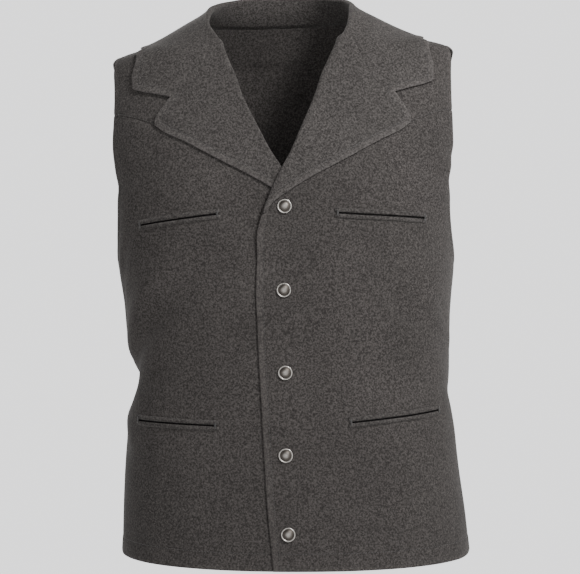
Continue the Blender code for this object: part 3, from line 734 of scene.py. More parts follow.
def distance_to(points, line):
    """Each grid point's distance to a line."""
    flat = points.reshape(-1, 3)
    starts = line[:-1]
    spans = line[1:] - starts
    lengths = np.maximum((spans ** 2).sum(1), TINY)
    best = np.full(len(flat), np.inf)
    for start, span, length in zip(starts, spans, lengths):
        share = np.clip((flat - start) @ span / length, 0.0, 1.0)
        reach = np.linalg.norm(flat - start - share[:, None] * span, axis=1)
        best = np.minimum(best, reach)
    return best.reshape(points.shape[:2])


def grid_normals(points, flip):
    """Unit normals of a grid of points, from its neighbours."""
    across = np.gradient(points, axis=1)
    up = np.gradient(points, axis=0)
    normals = np.cross(across, up)
    normals /= np.maximum(np.linalg.norm(normals, axis=2, keepdims=True), TINY)
    return -normals if flip else normals


print("rows at a stitched edge", len(BAND_ROWS))

# %% [markdown]
# The relief of an edge depends on nothing but the distance from it. Each kind of edge has a small
# function for it, made of ramps and bell curves, with every height in metres.

# %% Relief along edges
BAND_START = 0.0002
BAND_RISE = 0.0022
BAND_END = 0.0078
BAND_FALL = 0.0030
BAND_HEIGHT = 0.00030
GROOVE_WIDTH = 0.0010
GROOVE_DEPTH = 0.00042
HEM_END = 0.020
HEM_FALL = 0.004
HEM_RISE = 0.003
HEM_HEIGHT = 0.00025
HEM_GROOVE_WIDTH = 0.0014
HEM_GROOVE_DEPTH = 0.00035
SEAM_DIP = 0.00035
SEAM_DIP_WIDTH = 0.0012
SEAM_SWELL = 0.00022
SEAM_SWELL_IN = 0.0055
SEAM_SWELL_WIDTH = 0.0030
PUCKER = 0.00032
PUCKER_WIDTH = 0.0060
PUCKER_SCALE = 95.0
PUCKER_LEAST = 0.02


def ramp(distance, length):
    return np.clip(distance / length, 0.0, 1.0)


def bell(distance, width):
    return np.exp(-(distance / width) ** 2)


def band_relief(distance):
    """The plump band and stitched groove along a finished edge."""
    plump = BAND_HEIGHT * ramp(distance - BAND_START, BAND_RISE) * ramp(BAND_END - distance, BAND_FALL)
    return plump - GROOVE_DEPTH * bell(distance - STITCH_IN, GROOVE_WIDTH)


def hem_relief(distance):
    """The hem's turned-up cloth, and the groove of the stitches that catch it."""
    plump = ramp(HEM_END - distance, HEM_FALL) * ramp(distance, HEM_RISE)
    return HEM_HEIGHT * plump - HEM_GROOVE_DEPTH * bell(distance - HEM_STITCH_IN, HEM_GROOVE_WIDTH)


def seam_relief(distance):
    """Cloth dips into a seam, and swells a little beside it where the turnings lie under it."""
    swell = SEAM_SWELL * bell(distance - SEAM_SWELL_IN, SEAM_SWELL_WIDTH)
    return swell - SEAM_DIP * bell(distance, SEAM_DIP_WIDTH)


RELIEFS = {"edge": band_relief, "hem": hem_relief, "seam": seam_relief}


def relieved(points, normals, edges):
    """The grid with the relief of its edges, and its distances to each kind of edge."""
    distances = {}
    for kind, line in edges:
        reach = distance_to(points, np.array(line, dtype=float))
        distances[kind] = np.minimum(distances.get(kind, reach), reach)
    for kind, reach in distances.items():
        points = points + normals * RELIEFS[kind](reach)[:, :, None]
    return points, distances


def puckered(points, normals, distance):
    """The grid with the slight pucker that a row of stitches draws into it."""
    swell = bell(distance - STITCH_IN, PUCKER_WIDTH)
    pucker = np.zeros(distance.shape)
    for row, column in np.argwhere(swell > PUCKER_LEAST):
        pucker[row, column] = noise.noise(Vector(points[row, column]) * PUCKER_SCALE)
    return points + normals * (PUCKER * swell * pucker)[:, :, None]


print("kinds of edge", sorted(RELIEFS))

# %% [markdown]
# `make_cloth` builds one panel: a grid of points becomes a closed wall with a round rim. Its UV map is
# the chart in metres, so the weave runs level and upright as it does in a cut panel. It returns the
# outer face as well, because the sewing thread has to lie on it.

# %% Make a panel
Cloth = namedtuple("Cloth", "piece outer normals distances")
ALL_RIMS = (True, True, True, True)
FOLDED_IN = (False, True, True, True)
WEAR_REACH = 0.0035
BAND_FADE = 0.0020
FAR_OFF = 1.0


def rim_wall(shape, rims):
    """The wall's thickness at each grid point as a share of the cloth's, thin at the rounded rims."""
    wall = np.ones(shape)
    for step, share in enumerate(RIM_WALL):
        sides = (wall[:, step], wall[:, -1 - step], wall[step], wall[-1 - step])
        for rounded, side in zip(rims, sides):
            if rounded:
                np.minimum(side, share, out=side)
    return wall


def wall_faces(rows, columns, flip):
    """The quads of a closed wall: its outer face, its inner face and the rim between them."""
    count = rows * columns
    index = np.arange(count).reshape(rows, columns)
    corners = (index[:-1, :-1], index[:-1, 1:], index[1:, 1:], index[1:, :-1])
    quads = np.stack(corners, axis=-1).reshape(-1, 4)
    if flip:
        quads = quads[:, ::-1]
    faces = [tuple(quad) for quad in quads.tolist()]
    faces.extend(tuple(quad) for quad in (quads[:, ::-1] + count).tolist())
    border = [*index[0, :-1], *index[:-1, -1], *index[-1, :0:-1], *index[:0:-1, 0]]
    for here, there in zip(border, border[1:] + border[:1]):
        quad = (int(there), int(here), int(here) + count, int(there) + count)
        faces.append(quad[::-1] if flip else quad)
    return faces


def keep_chart(mesh, places):
    """The mesh's UV map: each point's place on the chart."""
    places = np.array(places, dtype=float).reshape(-1, 2)
    corners = np.empty(len(mesh.loops), dtype=np.int32)
    mesh.loops.foreach_get("vertex_index", corners)
    uv_map = mesh.uv_layers.new(name="chart")
    uv_map.data.foreach_set("uv", places[corners].reshape(-1).astype(np.float32))


def keep_measure(mesh, name, values):
    """A measure of the grid, kept on both faces of its wall for the material to read."""
    measure = mesh.attributes.new(name, "FLOAT", "POINT")
    measure.data.foreach_set("value", np.tile(values.reshape(-1), 2).astype(np.float32))


def new_piece(name, mesh):
    piece = bpy.data.objects.new(name, mesh)
    bpy.context.scene.collection.objects.link(piece)
    return piece


def make_cloth(name, middle, charts, edges, flip=False, rims=ALL_RIMS):
    """A panel from its grid. edges are (kind, line) pairs, and rims are left, right, low and high."""
    points = np.array(middle, dtype=float)
    rows, columns = points.shape[:2]
    normals = grid_normals(points, flip)
    points, distances = relieved(points, normals, edges)
    if "edge" in distances:
        points = puckered(points, normals, distances["edge"])
    offset = normals * (rim_wall((rows, columns), rims) * CLOTH / 2.0)[:, :, None]
    outer = points + offset
    both = np.concatenate([outer.reshape(-1, 3), (points - offset).reshape(-1, 3)])
    mesh = bpy.data.meshes.new(name)
    mesh.from_pydata(both.tolist(), [], wall_faces(rows, columns, flip))
    keep_chart(mesh, [charts, charts])
    far = np.full((rows, columns), FAR_OFF)
    to_edge = distances.get("edge", far)
    keep_measure(mesh, "near_edge", np.exp(-np.minimum(to_edge, distances.get("hem", far)) / WEAR_REACH))
    # The band measure carries a painted highlight: the material paints the stitched band a little lighter.
    keep_measure(mesh, "band", ramp(BAND_END - to_edge, BAND_FADE))
    mesh.shade_smooth()
    piece = new_piece(f"{name}_cloth", mesh)
    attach(piece, "root")
    print(piece.name, rows, "x", columns, "points")
    return Cloth(piece, outer, normals, distances)


# %% [markdown]
# ## Fronts
# Each front runs from the hem to the yoke seam, and from its own edge to the side seam and the
# armhole. Its edge is topstitched 8 mm in up to the break of the lapel. The armhole is topstitched the
# same way, and the hem is caught 20 mm up. A panel's corners are shares of its height, its size and
# pitch set how many rows its grid gets, and its sewn size is what half a seam's lap is a share of.

# %% Fronts
FRONT_CORNERS = (0.66, 0.77, 0.776)
FRONT_SIZE = (0.255, 0.50)
FRONT_PITCH = (0.0042, 0.0044)
FRONT_SEWN = (0.24, 0.50)
STEP_MARGIN = 0.002
STEP_CLEAR = 0.0015
HAIR = 1e-6


def panel(name, at, across, up, lift, length, edges, flip=False):
    """A panel of one ply: its grid on the chart, then its cloth."""
    charts = [[at(sewn(a, length[0]), sewn(u, length[1])) for a in across] for u in up]
    middle = [[above(chart, lift(chart)) for chart in row] for row in charts]
    return make_cloth(name, middle, charts, [(kind, pick(middle)) for kind, pick in edges], flip=flip)


def up_to(shares, low, high):
    """The slice of a grid's rows whose shares lie between two values."""
    inside = [index for index, share in enumerate(shares) if low - HAIR <= share <= high + HAIR]
    return slice(inside[0], inside[-1] + 1)


def front_shape(side):
    """The patch of a front: hem below, yoke seam above, its edge inside, side and armhole outside."""
    armpit, at_break, behind_break = FRONT_CORNERS
    seam_share, seam = yoke_seam(side)
    fold = fold_path(side).stretch(0, GORGE_ROW)
    edge = [on_front(*row) for row in FRONT_EDGE]
    low = hem(edge[0][0] / QUARTER, 1.0)
    edge[0] = low(0.0)
    step_share = seam_share * (behind_break - at_break) / (1.0 - at_break)

    def behind_fold(share):
        return beside(fold, mix(step_share, seam_share, share), BODY_EDGE, side)

    step = Path([mirrored(edge, side)[-1], behind_fold(0.0)]).stretch()
    above_break = cornered(step, behind_fold, (behind_break - at_break) / (1.0 - at_break))
    inner = cornered(Path(mirrored(edge, side)).stretch(), above_break, at_break)
    armhole = mirrored([on_left_side(*row) for row in ARMHOLE_FRONT], side)
    side_seam = Path([at_turn(side, low(1.0)[1]), armhole[0]])
    outer = cornered(side_seam.stretch(), Path(armhole).stretch(), armpit)
    return patch(lambda share: mirrored([low(share)], side)[0], seam.stretch(), inner, outer)


def front_rows():
    """Rows up a front: close at the hem, at the break's step and at the yoke seam."""
    armpit, at_break, behind_break = FRONT_CORNERS
    rows = stops(FRONT_SIZE[1], HEM_ROWS, RIM, FRONT_PITCH[1])
    rows.extend((armpit, at_break - STEP_MARGIN, at_break, mix(at_break, behind_break, 0.5),
                 behind_break, behind_break + STEP_MARGIN))
    return sorted(row for row in set(rows) if row == at_break or abs(row - at_break) >= STEP_CLEAR)


FRONT_UP = front_rows()
FRONT_ACROSS = stops(FRONT_SIZE[0], BAND_ROWS, BAND_ROWS, FRONT_PITCH[0])
SIDES = (("left", 1.0), ("right", -1.0))
rows_edge = up_to(FRONT_UP, 0.0, FRONT_CORNERS[1])
rows_side = up_to(FRONT_UP, 0.0, FRONT_CORNERS[0])
rows_arm = up_to(FRONT_UP, FRONT_CORNERS[0], 1.0)
fronts = {}
for word, side in SIDES:
    fronts[word] = panel(
        f"front_{word}", front_shape(side), FRONT_ACROSS, FRONT_UP, lift_of(side), FRONT_SEWN,
        (("edge", lambda grid: [row[0] for row in grid[rows_edge]]),
         ("edge", lambda grid: [row[-1] for row in grid[rows_arm]]),
         ("seam", lambda grid: [row[-1] for row in grid[rows_side]]),
         ("seam", lambda grid: grid[-1]),
         ("hem", lambda grid: grid[0])),
        flip=side < 0.0)
    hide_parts(f"front_{word}")

# %% [markdown]
# ## Yokes
# A western vest has a separate piece over each shoulder. It joins the front in a slanting seam that
# runs under the lapel to the armhole, and the back in a seam a little in front of the shoulder's ridge.

# %% Yokes
YOKE_CORNER = 0.50
YOKE_SIZE = (0.130, 0.115)
YOKE_PITCH = (0.0036, 0.0030)
YOKE_SEWN = (0.13, 0.12)


def yoke_shape(side):
    """The patch of a yoke: its seam below, the shoulder above, neck inside, armhole outside."""
    seam_share, seam = yoke_seam(side)
    fold = fold_path(side).stretch(0, GORGE_ROW)
    neck = neck_seam(side)
    inner = cornered(lambda share: beside(fold, mix(seam_share, 1.0, share), BODY_EDGE, side),
                     neck.stretch(0, SHOULDER_POINT), YOKE_CORNER)
    armhole = mirrored([on_left_side(*row) for row in ARMHOLE_YOKE], side)
    shoulder = Path([neck.points[SHOULDER_POINT], armhole[-1]])
    return patch(seam.stretch(), shoulder.stretch(), inner, Path(armhole).stretch())


YOKE_ACROSS = stops(YOKE_SIZE[0], RIM, BAND_ROWS, YOKE_PITCH[0])
YOKE_UP = stops(YOKE_SIZE[1], RIM, RIM, YOKE_PITCH[1])
yokes = {}
for word, side in SIDES:
    yokes[word] = panel(
        f"yoke_{word}", yoke_shape(side), YOKE_ACROSS, YOKE_UP, lift_of(side), YOKE_SEWN,
        (("edge", lambda grid: [row[-1] for row in grid]),
         ("seam", lambda grid: grid[0]),
         ("seam", lambda grid: grid[-1])),
        flip=side < 0.0)
    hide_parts(f"yoke_{word}")

# %% [markdown]
# ## Back
# The back is one piece from side seam to side seam, from the hem to the shoulder seams and the neck.
# The photograph doesn't show it, so it is finished plainly in the same wool, with the armholes
# topstitched and the hem caught as they are in front, and with its own soft creases at the waist.

# %% Back
BACK_CORNERS = (0.53, 0.86)
BACK_SIZE = (0.52, 0.64)
BACK_PITCH = 0.0050
BACK_SEWN = (0.50, 0.64)


def back_shape():
    """The patch of the back. Each edge is drawn for its left half and mirrored to the right."""
    armpit, shoulder_point = BACK_CORNERS
    low = hem(1.0, 2.0)
    neck = neck_seam(1.0)
    armhole = [on_left_side(*row) for row in ARMHOLE_BACK]
    side_seam = [low(0.0), armhole[0]]
    shoulder = [armhole[-1], neck.points[SHOULDER_POINT]]

    def side(turn):
        upper = cornered(Path(turn(armhole)).stretch(), Path(turn(shoulder)).stretch(),
                         (shoulder_point - armpit) / (1.0 - armpit))
        return cornered(Path(turn(side_seam)).stretch(), upper, armpit)

    def both(half):
        return lambda share: half(share * 2.0) if share <= 0.5 else behind([half(2.0 - share * 2.0)])[0]

    return patch(both(low), both(neck.stretch(SHOULDER_POINT)), side(list), side(behind), level=True)


BACK_ACROSS = stops(BACK_SIZE[0], BAND_ROWS, BAND_ROWS, BACK_PITCH)
BACK_UP = sorted({*stops(BACK_SIZE[1], HEM_ROWS, RIM, BACK_PITCH), *BACK_CORNERS})
back_side = up_to(BACK_UP, 0.0, BACK_CORNERS[0])
back_arm = up_to(BACK_UP, *BACK_CORNERS)
back_top = up_to(BACK_UP, BACK_CORNERS[1], 1.0)
back = panel(
    "back", back_shape(), BACK_ACROSS, BACK_UP, no_lift, BACK_SEWN,
    (("edge", lambda grid: [row[0] for row in grid[back_arm]]),
     ("edge", lambda grid: [row[-1] for row in grid[back_arm]]),
     ("seam", lambda grid: [row[0] for row in grid[back_side]]),
     ("seam", lambda grid: [row[-1] for row in grid[back_side]]),
     ("seam", lambda grid: [row[0] for row in grid[back_top]]),
     ("seam", lambda grid: [row[-1] for row in grid[back_top]]),
     ("hem", lambda grid: grid[0])))
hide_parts("back")

# %% [markdown]
# ## Lapels
# A lapel is the front's own facing, turned out along the fold. Its section starts in the front's edge,
# goes round the fold and lies down over the chest. The rows start at the lower edge and end at the
# gorge, the seam that joins the lapel to the collar below its notch.

# %% Lapels
LAPEL_SIZE = (0.120, 0.200)
LAPEL_PITCH = 0.0022
LAPEL_SEWN = 0.24
LAPEL_FOOT_ROWS = (*RIM, 0.006, 0.010, 0.014, 0.018)
LAPEL_FOLD_ROWS = (0.0035, 0.0060)
LAPEL_CROWDING = 1.15
LAPEL_FACE = FOLD_STEPS + 2
LAPEL_UP = stops(LAPEL_SIZE[1], LAPEL_FOOT_ROWS, RIM, LAPEL_PITCH)
LAPEL_FLAT = [1.0 - (1.0 - share) ** LAPEL_CROWDING
              for share in stops(LAPEL_SIZE[0], LAPEL_FOLD_ROWS, RIM, LAPEL_PITCH)]


def make_lapel(word, side):
    """A lapel: each row is a section from the front's edge round the fold and over the chest."""
    fold = fold_path(side).stretch(0, GORGE_ROW)
    lift = lift_of(side)

    def fold_side(share):
        distance = fold_radius(share) - FOLD_REACH
        return front_view(beside(fold, mix(LAPEL_START, 1.0, share), distance, side))

    lower = Path([fold_side(0.0), *mirrored(LAPEL_LOWER_EDGE, side)])
    gorge = Path([fold_side(1.0), *mirrored(GORGE_SEAM, side)])
    top = Path(mirrored(LAPEL_TOP_EDGE, side))
    at = patch(lower.stretch(), gorge.stretch(), fold_side, top.stretch())
    middle, charts = [], []
    for stop in LAPEL_UP:
        stop = sewn(stop, LAPEL_SEWN)
        share = mix(LAPEL_START, 1.0, stop)
        radius = fold_radius(share)
        row, places = [], []
        for distance, height in [(FOLD_LEG, 0.0), *fold_profile(radius)]:
            chart = beside(fold, share, distance, side)
            row.append(above(chart, height + lift(chart)))
            places.append(chart)
        crest = on_front(*fold_side(stop))
        for flat in LAPEL_FLAT:
            chart = on_front(*at(flat, stop))
            height = upper_ply(radius, (body(chart) - body(crest)).length)
            row.append(above(chart, height + lift(chart)))
            places.append(chart)
        middle.append(row)
        charts.append(places)
    edges = (("edge", middle[0][LAPEL_FACE:]), ("edge", [row[-1] for row in middle]),
             ("seam", middle[-1][LAPEL_FACE:]))
    cloth = make_cloth(f"lapel_{word}", middle, charts, edges, flip=side < 0.0, rims=FOLDED_IN)
    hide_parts(f"lapel_{word}")
    return cloth


lapels = {word: make_lapel(word, side) for word, side in SIDES}

# %% [markdown]
# ## Collar
# The collar stands up from the neck seam, folds, and falls over the yokes and the back. It is one
# piece from gorge to gorge. Near its ends the leaf turns from the gorge's line out to the collar's
# own tip, so its patch is spun between edges in space and then laid back onto the form.

# %% Collar
COLLAR_SIZE = (0.100, 0.420)
COLLAR_PITCH = (0.0028, 0.0042)
COLLAR_SEWN = 0.22
COLLAR_FOLD_ROWS = (0.0030, 0.0055)
COLLAR_STAND = (0.0, 0.15, 0.30, 0.45, 0.60, 0.75)
COLLAR_FACE = len(COLLAR_STAND) + FOLD_STEPS + 1
COLLAR_ALONG = stops(COLLAR_SIZE[1], BAND_ROWS, BAND_ROWS, COLLAR_PITCH[1])
COLLAR_LEAF = stops(COLLAR_SIZE[0], COLLAR_FOLD_ROWS, BAND_ROWS, COLLAR_PITCH[0])
COLLAR_FLAT = sorted({*COLLAR_LEAF, GORGE_SHARE})
COLLAR_NOTCH = COLLAR_FACE + COLLAR_FLAT.index(GORGE_SHARE)


def make_collar():
    """The collar: each row is a section up the stand, round the fold and down the fall."""
    points = fold_path(1.0).points[:-1]
    right_points = [Vector((point[0] + 4.0 * QUARTER, point[1])) for point in fold_path(-1.0).points]
    points.extend(reversed(right_points))
    fold = Path(points).stretch(GORGE_ROW, len(points) - 1 - GORGE_ROW)
    left_seam = neck_seam(1.0).stretch()
    right_seam = neck_seam(-1.0).stretch()
    edge_points = [on_front(*COLLAR_FRONT_EDGE[-1]), *(on_front(*row) for row in COLLAR_EDGE_FRONT)]
    edge_points.extend(at_turn(*station.edge) for station in STATIONS)
    edge = Path([*edge_points[:-1], *reversed(behind(edge_points))]).stretch()
    radius = FOLD_RADII[1]

    def seam(share):
        if share <= 0.5:
            return left_seam(share * 2.0)
        return right_seam(2.0 - share * 2.0) + Vector((4.0 * QUARTER, 0.0))

    def fold_side(share):
        return beside(fold, share, radius - FOLD_REACH)

    ends = []
    for share, turn in ((0.0, list), (1.0, behind)):
        start = front_view(turn([fold_side(share)])[0])
        gorge = traced([start, *GORGE_SEAM], turn)
        ends.append(cornered(gorge, traced(COLLAR_FRONT_EDGE, turn), GORGE_SHARE))
    curves = [lambda share, curve=curve: body(curve(share)) for curve in (fold_side, edge, *ends)]
    at = patch(*curves, COLLAR_END_FADE, 2)
    middle, charts = [], []
    for stop in COLLAR_ALONG:
        share = sewn(stop, COLLAR_SEWN)
        crest = fold_side(share)
        foot = seam(share)
        places = [mix(foot, crest, stand) for stand in COLLAR_STAND]
        row = [above(chart, 0.0) for chart in places]
        for distance, height in fold_profile(radius):
            places.append(beside(fold, share, distance))
            row.append(above(places[-1], height))
        for flat in COLLAR_FLAT:
            chart = radial(at(share, flat))
            row.append(above(chart, upper_ply(radius, (body(chart) - body(crest)).length)))
            places.append(chart)
        middle.append(row)
        charts.append(places)
    leaf = slice(COLLAR_FACE, COLLAR_NOTCH)
    tip = slice(COLLAR_NOTCH, None)
    edges = (("edge", middle[0][tip]), ("edge", [row[-1] for row in middle]), ("edge", middle[-1][tip]),
             ("seam", middle[0][leaf]), ("seam", middle[-1][leaf]))
    cloth = make_cloth("collar", middle, charts, edges, rims=FOLDED_IN)
    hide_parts("collar")
    return cloth


collar = make_collar()

# %% [markdown]
# ## One stitch
# Every topstitch on the vest is the same small loop of thread that dives into the cloth at both ends.
# We model it once: a small sphere is stretched along its seam and its ends are pressed down.

# %% Model the stitch
STITCH_PITCH = 0.0034
STITCH_LENGTH = 0.0027
STITCH_WIDTH = 0.00056
STITCH_RISE = 0.00012
STITCH_DIVE = 0.00026

bpy.ops.mesh.primitive_uv_sphere_add(segments=8, ring_count=6, radius=0.5)
stitch = bpy.context.object
stitch.name = "stitch_pattern"
bpy.ops.object.mode_set(mode="EDIT")
bpy.ops.mesh.select_all(action="SELECT")
bpy.ops.transform.resize(value=(STITCH_WIDTH, STITCH_WIDTH, STITCH_LENGTH))
bpy.ops.object.mode_set(mode="OBJECT")
stitch_points = np.array([tuple(corner.co) for corner in stitch.data.vertices])[:, [2, 0, 1]]
stitch_points[:, 2] += STITCH_RISE - STITCH_DIVE * (stitch_points[:, 0] * 2.0 / STITCH_LENGTH) ** 2
stitch_faces = [tuple(face.vertices) for face in stitch.data.polygons]
bpy.data.objects.remove(stitch, do_unlink=True)
print("a stitch has", len(stitch_points), "points and", len(stitch_faces), "faces")

# %% [markdown]
# ## Sewing
# A line of stitches keeps a constant distance from its edge, so we look for that distance along every
# row of the cloth's grid. Thread is never perfectly even: each stitch is turned by a few degrees.

# %% Sewing helpers
STITCH_SWING = 0.10
STITCH_SWING_SCALE = 700.0


def line_at(cloth, kind, target, rows, columns, walk):
    """Places and normals on the outer face at a distance from an edge, walking in from that edge."""
    outer = cloth.outer[rows, columns]
    normals = cloth.normals[rows, columns]
    reach = cloth.distances[kind][rows, columns]
    if walk == "up":
        outer = outer.swapaxes(0, 1)
        normals = normals.swapaxes(0, 1)
        reach = reach.T
    places, ups = [], []
    for line, reaches in enumerate(reach):
        beyond = np.flatnonzero(reaches >= target)
        if len(beyond) == 0 or beyond[0] == 0:
            continue
        step = beyond[0]
        share = (target - reaches[step - 1]) / (reaches[step] - reaches[step - 1])
        places.append(mix(outer[line, step - 1], outer[line, step], share))
        ups.append(mix(normals[line, step - 1], normals[line, step], share))
    return np.array(places), np.array(ups)


def sew(name, lines, pitch=STITCH_PITCH):
    """Rows of stitches along lines on the cloth, joined into one piece of thread."""
    points, faces = [], []
    for places, ups in lines:
        knots = np.concatenate([[0.0], np.cumsum(np.linalg.norm(np.diff(places, axis=0), axis=1))])
        count = int(knots[-1] / pitch)
        for number in range(count):
            along = (number + 0.5) * knots[-1] / count
            here, before, after = (
                np.array([np.interp(spot, knots, places[:, axis]) for axis in range(3)])
                for spot in (along, along - STITCH_LENGTH / 2.0, along + STITCH_LENGTH / 2.0))
            up = np.array([np.interp(along, knots, ups[:, axis]) for axis in range(3)])
            swing = STITCH_SWING * noise.noise(Vector(here) * STITCH_SWING_SCALE)
            ahead = Vector(after - before).normalized()
            up = Vector(up).normalized()
            aside = up.cross(ahead).normalized()
            ahead = (ahead + aside * swing).normalized()
            aside = up.cross(ahead).normalized()
            up = ahead.cross(aside)
            base = len(points) * len(stitch_points)
            turn = np.array([tuple(ahead), tuple(aside), tuple(up)])
            points.append(stitch_points @ turn + here)
            faces.extend(tuple(corner + base for corner in face) for face in stitch_faces)
    mesh = bpy.data.meshes.new(name)
    mesh.from_pydata(np.concatenate(points).tolist(), [], faces)
    mesh.shade_smooth()
    thread = new_piece(name, mesh)
    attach(thread, "root")
    print(name, len(points), "stitches")
    return thread


print("a metre of topstitching takes", round(1.0 / STITCH_PITCH), "stitches")


# %% [markdown]
# ## Topstitching the edges
# The stitch lines follow the photograph: 8 mm inside the front edge, round lapels and collar, and the
# armholes. The hem is caught 20 mm up, and the yokes are edge-stitched close to their seams.

# %% Topstitching
YOKE_STITCH_IN = 0.0022
ALL = slice(None)
BACKWARD = slice(None, None, -1)
lapel_face = slice(LAPEL_FACE, None)
collar_tip = slice(COLLAR_NOTCH, None)
threads = []
for word in ("left", "right"):
    lines = [line_at(fronts[word], "hem", HEM_STITCH_IN, ALL, ALL, "up"),
             line_at(fronts[word], "edge", STITCH_IN, rows_arm, BACKWARD, "across"),
             line_at(fronts[word], "edge", STITCH_IN, rows_edge, ALL, "across")]
    threads.append(sew(f"front_{word}_topstitch", lines))
    lines = [line_at(yokes[word], "edge", STITCH_IN, ALL, BACKWARD, "across"),
             line_at(yokes[word], "seam", YOKE_STITCH_IN, ALL, ALL, "up"),
             line_at(yokes[word], "seam", YOKE_STITCH_IN, BACKWARD, ALL, "up")]
    threads.append(sew(f"yoke_{word}_topstitch", lines))
    lines = [line_at(lapels[word], "edge", STITCH_IN, ALL, lapel_face, "up"),
             line_at(lapels[word], "edge", STITCH_IN, ALL, BACKWARD, "across")]
    threads.append(sew(f"lapel_{word}_topstitch", lines))
lines = [line_at(back, "hem", HEM_STITCH_IN, ALL, ALL, "up"),
         line_at(back, "edge", STITCH_IN, back_arm, ALL, "across"),
         line_at(back, "edge", STITCH_IN, back_arm, BACKWARD, "across")]
threads.append(sew("back_topstitch", lines))
lines = [line_at(collar, "edge", STITCH_IN, ALL, BACKWARD, "across"),
         line_at(collar, "edge", STITCH_IN, ALL, collar_tip, "up"),
         line_at(collar, "edge", STITCH_IN, BACKWARD, collar_tip, "up")]
threads.append(sew("collar_topstitch", lines))

# %% [markdown]
# ## Pocket lips
# Each of the four pockets is a slot between two narrow lips of folded cloth. A lip is a long soft roll:
# flat where it is sewn down, rounded where it meets the slot, and drawn in at both ends. It is made
# from the front's own chart, so it follows the chest, and stands on the front's outer face.

# %% Pocket lips
WELT_CLOTH = 0.0013
WELT_WIDTH = 0.0055
WELT_SLOT = 0.0010
WELT_PAST_SLOT = 0.0030
WELT_GAP = 0.0005
WELT_STEPS = 64
LIP_END = (-0.0004, 0.0026)
LIP_END_WIDTH = 0.80
LIP_END_RISE = 0.25
LIP_UNEVEN = 0.10
LIP_NOISE = (9.0, 3.0, 50.0)
Pocket = namedtuple("Pocket", "name inner outer")
POCKETS = (
    Pocket("chest_left", (0.0600, -0.2165), (0.1592, -0.2213)),
    Pocket("chest_right", (-0.0748, -0.2170), (-0.1631, -0.2290)),
    Pocket("lower_left", (0.0680, -0.4530), (0.1691, -0.4411)),
    Pocket("lower_right", (-0.0845, -0.4568), (-0.1734, -0.4529)),
)
LipPoint = namedtuple("LipPoint", "across rise")
LIP_SECTION = (
    LipPoint(0.0005, 0.30), LipPoint(0.0008, 0.68), LipPoint(0.0014, 0.98), LipPoint(0.0023, 1.16),
    LipPoint(0.0032, 1.14), LipPoint(0.0041, 0.90), LipPoint(0.0049, 0.46), LipPoint(0.0055, -0.10),
    LipPoint(0.0054, -0.38), LipPoint(0.0036, -0.42), LipPoint(0.0017, -0.42), LipPoint(0.0007, -0.28),
)


def lip_rise(chart, lift):
    """The height of the front's outer face above the form, just under a lip."""
    return lift(chart) + CLOTH / 2.0


def slot_on_chart(pocket):
    """The two ends of a slot on the chart, and the lift of the front that it is in."""
    inner = on_front(*pocket.inner)
    outer = on_front(*pocket.outer)
    return inner, outer, lift_of(inner[0])


def tube_faces(steps, size):
    """The quads of a tube of rings with size corners each, and a face at both ends."""
    faces = []
    for here in range(0, steps * size, size):
        there = here + size
        for corner in range(size):
            beyond = (corner + 1) % size
            faces.append((here + corner, here + beyond, there + beyond, there + corner))
    faces.append(tuple(range(size)))
    faces.append(tuple(steps * size + corner for corner in range(size)))
    return faces


def face_outwards(piece):
    """Point all faces of a closed piece outwards, in edit mode."""
    bpy.ops.object.select_all(action="DESELECT")
    bpy.context.view_layer.objects.active = piece
    piece.select_set(True)
    bpy.ops.object.mode_set(mode="EDIT")
    bpy.ops.mesh.select_all(action="SELECT")
    bpy.ops.mesh.normals_make_consistent(inside=False)
    bpy.ops.object.mode_set(mode="OBJECT")


def make_lip(pocket, word, direction):
    """A lip: its section repeated from end to end and joined into a tube."""
    inner, outer, lift = slot_on_chart(pocket)
    along = (outer - inner).normalized()
    inner = inner - along * WELT_PAST_SLOT
    outer = outer + along * WELT_PAST_SLOT
    length = (outer - inner).length
    points, places = [], []
    for step in range(WELT_STEPS + 1):
        share = step / WELT_STEPS
        full = ease(*LIP_END, min(share, 1.0 - share) * length)
        spot = Vector([value * scale for value, scale in zip((share, direction, pocket.inner[1]), LIP_NOISE)])
        plump = 1.0 + LIP_UNEVEN * noise.noise(spot)
        for point in LIP_SECTION:
            width = mix(LIP_END_WIDTH, 1.0, full)
            across = WELT_SLOT / 2.0 + mix(WELT_WIDTH * 0.5, point.across, width)
            chart = mix(inner, outer, share) + Vector((0.0, direction * across))
            raised = max(point.rise, 0.0) * WELT_CLOTH * plump * mix(LIP_END_RISE, 1.0, full)
            rise = raised + min(point.rise, 0.0) * WELT_CLOTH
            points.append(above(chart, lip_rise(chart, lift) + rise + WELT_GAP * full))
            places.append(chart)
    name = f"pocket_{pocket.name}_{word}_lip"
    mesh = bpy.data.meshes.new(name)
    mesh.from_pydata(points, [], tube_faces(WELT_STEPS, len(LIP_SECTION)))
    keep_chart(mesh, places)
    lip = new_piece(name, mesh)
    face_outwards(lip)
    mesh.shade_smooth()
    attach(lip, "root")
    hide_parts(f"welt_{pocket.name}_{word}")
    return lip


lips = {}
for pocket in POCKETS:
    lips[pocket.name] = [make_lip(pocket, "upper", 1.0), make_lip(pocket, "lower", -1.0)]
print("lips", sum(len(pair) for pair in lips.values()))

# %% [markdown]
# Between the lips the slot is dark, since one looks into the pocket there. That shade is painted: a
# narrow near-black strip closes the slot at the front's face. At each end a bar tack, fourteen tight
# stitches side by side, holds the lips.

# %% Slots and bar tacks
SLOT_WIDTH = 0.0026
SLOT_RISE = 0.00012
TACK_STITCHES = 14
TACK_RISE = 1.10
TACK_LENGTH = 0.0064
TACK_IN = -0.0002
TACK_REACH = 0.9
TACK_PITCH = 0.6


